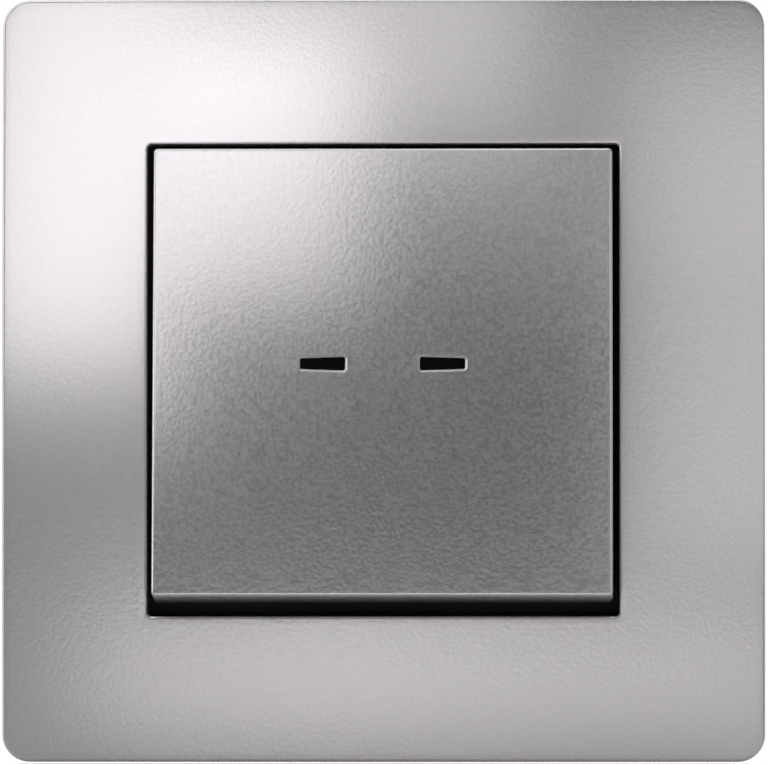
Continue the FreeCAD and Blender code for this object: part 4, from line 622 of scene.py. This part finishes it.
def zinc_sheet(name, shade):
    """Galvanised sheet: crystals of several greys, duller in some than in others."""
    finish = Finish(name, Metallic=1.0)
    zinc = finish.effect("zinc_spangle")
    film = finish.effect("handling", Scale=90.0)
    mask = finish.mixed(zinc["Tone"], 0.65, zinc["Streak"], 0.35)
    tint = finish.blend(mask, scaled(shade, 0.72), scaled(shade, 1.2))
    roughness = finish.calc("ADD", finish.span(zinc["Tone"], 0.0, 1.0, 0.28, 0.46),
                            finish.calc("MULTIPLY", film["Film"], 0.14))
    return finish.feed(Base_Color=tint, Roughness=roughness, Normal=zinc["Normal"])


def drawn_metal(name, shade, rough, spread=0.14, scale=900.0):
    """Strip, wire or turned metal: a stretched grain and stains that dull it."""
    finish = Finish(name, Metallic=1.0)
    grain = finish.effect("rolled_grain", Scale=scale)
    mask = finish.mixed(grain["Tone"], 0.5, grain["Stain"], 0.5)
    tint = finish.blend(mask, scaled(shade, 1 - spread), scaled(shade, 1 + spread))
    roughness = finish.calc("ADD", finish.span(grain["Tone"], 0.0, 1.0, rough - 0.05, rough + 0.05),
                            finish.calc("MULTIPLY", grain["Stain"], 0.14))
    return finish.feed(Base_Color=tint, Roughness=roughness, Normal=grain["Normal"])


def smoked_lens(name, shade):
    """A smoked lens: nearly black, smooth, with the faint waves of a small moulding."""
    finish = Finish(name, Specular_IOR_Level=0.25, IOR=1.49)
    skin = finish.effect("moulded_skin", Scale=500.0, Depth=2e-6)
    film = finish.effect("handling", Scale=300.0)
    tint = finish.blend(skin["Flow"], scaled(shade, 0.8), scaled(shade, 1.2))
    roughness = finish.span(film["Film"], 0.0, 1.0, 0.1, 0.22)
    return finish.feed(Base_Color=tint, Roughness=roughness, Normal=skin["Normal"])


def board_laminate(name, shade):
    """Glass-cloth laminate under green resist: a fine woven relief and paler threads."""
    finish = Finish(name, Coat_Weight=0.3, Coat_Roughness=0.15)
    cloth = {"Vector": finish.place, "Scale": 420.0, "Distortion": 0.8, "Detail": 1.0}
    warp, weft = (finish.add("TexWave", cloth, bands_direction=axis).outputs[0] for axis in ("X", "Z"))
    weave = finish.calc("MULTIPLY", warp, weft)
    film = finish.effect("handling", Scale=200.0)
    tint = finish.blend(weave, scaled(shade, 0.8), scaled(shade, 1.3))
    roughness = finish.span(film["Film"], 0.0, 1.0, 0.3, 0.42)
    return finish.feed(Base_Color=tint, Roughness=roughness, Normal=finish.relief(weave, 0.5, 1e-5))


FINISHES = {
    # finish: how it is made from its name and the user's colours, and the pieces that wear it
    "key_lacquer": (
        lambda name, c: silver_lacquer(name, c.lacquer, 5.5e-5 * c.grain, 0.25 * c.grain),
        ("rocker_key",)),
    # clip frame and rocker carrier: black that is partly their plastic's colour and partly painted shade in
    # the gap round the key
    "black_moulding": (
        lambda name, c: moulding(name, c.black, 0.48, gloss=0.2),
        ("clip_frame", "rocker_carrier")),
    "smoked_lens": (
        lambda name, c: smoked_lens(name, c.lens),
        ("window_lens_left", "window_lens_right")),
    "zinc_sheet": (
        lambda name, c: zinc_sheet(name, c.zinc),
        ("support_bridge",)),
    "base_moulding": (
        lambda name, c: moulding(name, c.base, 0.5, spread=0.05),
        ("base_housing",)),
    "cover_moulding": (
        lambda name, c: moulding(name, c.cover, 0.46),
        ("housing_cover",)),
    "plated_screw": (
        lambda name, c: drawn_metal(name, scaled(c.zinc, 1.12), 0.24),
        ("housing_screws",)),
    "claw_sheet": (
        lambda name, c: drawn_metal(name, scaled(c.zinc, 0.95), 0.33),
        ("claw_left", "claw_right")),
    "brass_strip": (
        lambda name, c: drawn_metal(name, c.brass, 0.26),
        ("terminal_left", "terminal_right", "contact_strip")),
    "contact_silver": (
        lambda name, c: drawn_metal(name, c.silver, 0.2, spread=0.08),
        ("fixed_points", "moving_points")),
    "spring_steel": (
        lambda name, c: drawn_metal(name, c.steel, 0.24),
        ("clamp_spring_left", "clamp_spring_right", "return_spring", "contact_spring")),
    "plunger_moulding": (
        lambda name, c: moulding(name, c.plunger, 0.42, spread=0.04),
        ("plunger",)),
    "release_moulding": (
        lambda name, c: moulding(name, c.release, 0.4, spread=0.08),
        ("release_left", "release_right")),
    "board_laminate": (
        lambda name, c: board_laminate(name, c.board),
        ("lamp_board",)),
    "lamp_case": (
        lambda name, c: moulding(name, c.lamp, 0.25, spread=0.03),
        ("lamp_left", "lamp_right")),
    "chip_ceramic": (
        lambda name, c: moulding(name, c.ceramic, 0.35),
        ("lamp_resistors",)),
    "tinned_wire": (
        lambda name, c: drawn_metal(name, c.tin, 0.25),
        ("lamp_leads",)),
}


def paint(made, material):
    """Gives one material to every slot of an object."""
    if not made.material_slots:
        made.data.materials.append(material)
    for place in made.material_slots:
        place.material = material


# Operators


class SWITCH_OT_cover_frame(Operator):
    """Build the silver cover frame with its crowned face, opening and latches"""

    bl_idname = "switch.cover_frame"
    bl_label = "Cover Frame"

    def execute(self, context):
        sizes, colours = context.scene.switch_cover, context.scene.switch_colours
        shells = [frame_shell(sizes), *latch_shells(sizes)]
        made = closed_piece("silver_cover_frame", shells, FRAME_SMOOTH)
        depth, grain = 3.5e-5 * colours.grain, 0.12 * colours.grain
        paint(made, silver_lacquer("frame_lacquer", colours.lacquer, depth, grain))
        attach(made, "switch_body")
        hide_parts("cover_frame")
        return {"FINISHED"}


class SWITCH_OT_claw_screws(Operator):
    """Build the two threaded claw screws with slotted heads"""

    bl_idname = "switch.claw_screws"
    bl_label = "Claw Screws"

    def execute(self, context):
        sizes, colours = context.scene.switch_screws, context.scene.switch_colours
        finish = drawn_metal("claw_screw_plating", scaled(colours.zinc, 1.1), 0.22, scale=1400.0)
        for side, word in ((-1, "left"), (1, "right")):
            shells = [build(sizes, side * sizes.out, -sizes.down) for build in (slotted_head, threaded_shank)]
            made = closed_piece(f"threaded_claw_screw_{word}", shells, SCREW_SMOOTH)
            paint(made, finish)
            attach(made, f"claw_{word}_screw")
            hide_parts(f"claw_screw_{word}")
        return {"FINISHED"}


class SWITCH_OT_return_coil(Operator):
    """Build the coil that returns the plunger"""

    bl_idname = "switch.return_coil"
    bl_label = "Return Coil"

    def execute(self, context):
        sizes, colours = context.scene.switch_coil, context.scene.switch_colours
        made = closed_piece("plunger_return_coil", [coil_shell(sizes)], COIL_SMOOTH)
        paint(made, drawn_metal("return_coil_steel", colours.steel, 0.24))
        ends = ((0.0, level, -sizes.down) for level in (sizes.front, sizes.back))
        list(ends)
        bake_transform(made)
        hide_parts("return_spring")
        return {"FINISHED"}


class SWITCH_OT_finishes(Operator):
    """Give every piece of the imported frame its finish"""

    bl_idname = "switch.finishes"
    bl_label = "Finishes"

    def execute(self, context):
        for name, (build, nodes) in FINISHES.items():
            finish = build(name, context.scene.switch_colours)
            for node in nodes:
                paint(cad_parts[node], finish)
        return {"FINISHED"}


LAMPS = (
    # name, place, width and height in metres, power in watts
    ("upper_left", (-0.039, -0.043, 0.0311), 0.028, 0.058, 0.0083),
    ("upper_left_fill", (-0.014, -0.038, 0.0282), 0.021, 0.027, 0.0021),
    ("low_middle", (0.008, -0.050, -0.0338), 0.092, 0.012, 0.0033),
    ("right", (0.062, -0.037, 0.0105), 0.069, 0.061, 0.0072),
    ("upper_middle", (-0.004, -0.042, 0.0487), 0.042, 0.037, 0.0036),
    ("upper_right", (0.100, -0.035, 0.0632), 0.187, 0.097, 0.0078),
    ("low_far", (-0.013, -0.163, -0.0333), 0.022, 0.010, 0.0042),
)


def add_lamp(name, place, width, height, power):
    """A soft rectangular lamp ahead of the switch. It faces the wall, and the camera doesn't see it."""
    light = bpy.data.lights.new(name, "AREA")
    light.shape = "RECTANGLE"
    light.size = width
    light.size_y = height
    light.energy = power
    lamp = bpy.data.objects.new(name, light)
    lamp.location = place
    lamp.rotation_euler = (math.pi / 2, 0.0, 0.0)
    lamp.visible_camera = False
    bpy.context.scene.collection.objects.link(lamp)


def add_floor(settings):
    """A large pale floor under the switch."""
    level = cad_box[0].z - FLOOR_GAP
    corners = [(x * FLOOR_HALF, y * FLOOR_HALF, level) for x, y in ((-1, -1), (1, -1), (1, 1), (-1, 1))]
    mesh = bpy.data.meshes.new("floor")
    mesh.from_pydata(corners, [], [(0, 1, 2, 3)])
    made = bpy.data.objects.new("floor", mesh)
    bpy.context.scene.collection.objects.link(made)
    finish = Finish("floor_paper", Specular_IOR_Level=0.2)
    fibres = finish.effect("moulded_skin", Scale=300.0, Depth=1e-5)
    tint = finish.blend(fibres["Flow"], scaled(settings.floor, 0.99), scaled(settings.floor, 1.01))
    seen = finish.calc("MULTIPLY", finish.add("LightPath").outputs["Is Camera Ray"], settings.floor_glow)
    finish.shader.inputs["Emission Color"].default_value = (1.0, 1.0, 1.0, 1.0)
    roughness = finish.span(fibres["Tone"], 0.0, 1.0, 0.8, 0.9)
    made.data.materials.append(finish.feed(Base_Color=tint, Roughness=roughness, Emission_Strength=seen))


def light_room(settings):
    """White all round for the camera, and behind the switch for gloss and clear rays too. For these rays the
    room is dim ahead of the switch and brighter beside it, most of all to the upper left. Matt surfaces get a
    plain light, more of it from behind, where there are no lamps."""
    world = bpy.data.worlds.new("studio")
    bpy.context.scene.world = world
    world.use_nodes = True
    graph = Graph(world.node_tree)
    background = world.node_tree.nodes["Background"]
    ray = graph.add("LightPath").outputs
    way = graph.add("SeparateXYZ", {0: graph.add("TexCoord").outputs["Generated"]}).outputs
    upper_left = graph.span(graph.calc("SUBTRACT", way["Z"], way["X"]), 0.2, 1.1, 0.0, 1.0, smooth=True)
    ahead = graph.span(way["Y"], 0.05, 0.35, 1.0, 0.0, smooth=True)
    window = graph.span(graph.calc("MULTIPLY", upper_left, ahead), 0.0, 1.0, settings.beside, settings.window)
    aside = graph.span(way["Y"], -0.55, -0.1, 0.0, 1.0, smooth=True)
    beside = graph.add("Mix", {0: aside, 2: settings.dusk, 3: window}).outputs[0]
    behind = graph.calc("MAXIMUM", beside, graph.span(way["Y"], 0.35, 0.9, 0.0, 1.0, smooth=True))
    shown = graph.calc("MAXIMUM", ray["Is Glossy Ray"], ray["Is Transmission Ray"])
    plain = graph.span(way["Y"], -0.1, 0.5, settings.room, settings.room_behind, smooth=True)
    level = graph.add("Mix", {0: shown, 2: plain, 3: behind}).outputs[0]
    level = graph.add("Mix", {0: ray["Is Camera Ray"], 2: level, 3: 1.0}).outputs[0]
    background.inputs["Color"].default_value = (1.0, 1.0, 1.0, 1.0)
    graph.give(background.inputs["Strength"], level)


def aim_camera(settings):
    """A long lens a little to the right of the middle and a little below it."""
    turn, rise = settings.azimuth, settings.elevation
    back = Vector((math.sin(turn) * math.cos(rise), -math.cos(turn) * math.cos(rise), math.sin(rise)))
    data = bpy.data.cameras.new("camera")
    data.sensor_width = 36.0
    data.lens = settings.lens
    data.clip_start, data.clip_end = 0.01, 20.0
    camera = bpy.data.objects.new("camera", data)
    camera.rotation_mode = "QUATERNION"
    camera.location = Vector(settings.aim) + back * settings.distance
    camera.rotation_quaternion = (-back).to_track_quat("-Z", "Y")
    bpy.context.scene.collection.objects.link(camera)
    bpy.context.scene.camera = camera


class SWITCH_OT_stage(Operator):
    """Set up the floor, the room, the lamps and the camera"""

    bl_idname = "switch.stage"
    bl_label = "Stage"

    def execute(self, context):
        settings = context.scene.switch_stage
        context.scene.view_settings.view_transform = "Standard"
        add_floor(settings)
        light_room(settings)
        for name, place, width, height, power in LAMPS:
            add_lamp(name, place, width, height, power * settings.lamps)
        aim_camera(settings)
        return {"FINISHED"}


class SWITCH_PT_panel(Panel):
    """Lists the pieces, the finishes and the stage"""

    bl_idname = "SWITCH_PT_panel"
    bl_label = "Flush Wall Switch"
    bl_space_type = "VIEW_3D"
    bl_region_type = "UI"
    bl_category = "Wall Switch"

    def draw(self, context):
        for group, operator in PANEL_ROWS:
            box = self.layout.box()
            settings = getattr(context.scene, group)
            for name in settings.bl_rna.properties.keys():
                if name not in ("rna_type", "name"):
                    box.prop(settings, name)
            box.operator(operator)


PANEL_ROWS = (
    ("switch_cover", "switch.cover_frame"),
    ("switch_screws", "switch.claw_screws"),
    ("switch_coil", "switch.return_coil"),
    ("switch_colours", "switch.finishes"),
    ("switch_stage", "switch.stage"),
)
GROUPS = {
    "switch_cover": CoverFrameSizes,
    "switch_screws": ClawScrewSizes,
    "switch_coil": ReturnCoilSizes,
    "switch_colours": SwitchColours,
    "switch_stage": SwitchStage,
}
CLASSES = (
    *GROUPS.values(),
    SWITCH_OT_cover_frame,
    SWITCH_OT_claw_screws,
    SWITCH_OT_return_coil,
    SWITCH_OT_finishes,
    SWITCH_OT_stage,
    SWITCH_PT_panel,
)


def register():
    for made in CLASSES:
        bpy.utils.register_class(made)
    for name, group in GROUPS.items():
        setattr(bpy.types.Scene, name, PointerProperty(type=group))


def unregister():
    for name in GROUPS:
        delattr(bpy.types.Scene, name)
    for made in reversed(CLASSES):
        bpy.utils.unregister_class(made)


def main():
    register()
    shared_effects()
    bpy.ops.switch.cover_frame()
    bpy.ops.switch.claw_screws()
    bpy.ops.switch.return_coil()
    bpy.ops.switch.finishes()
    bpy.ops.switch.stage()


if __name__ == "__main__":
    main()
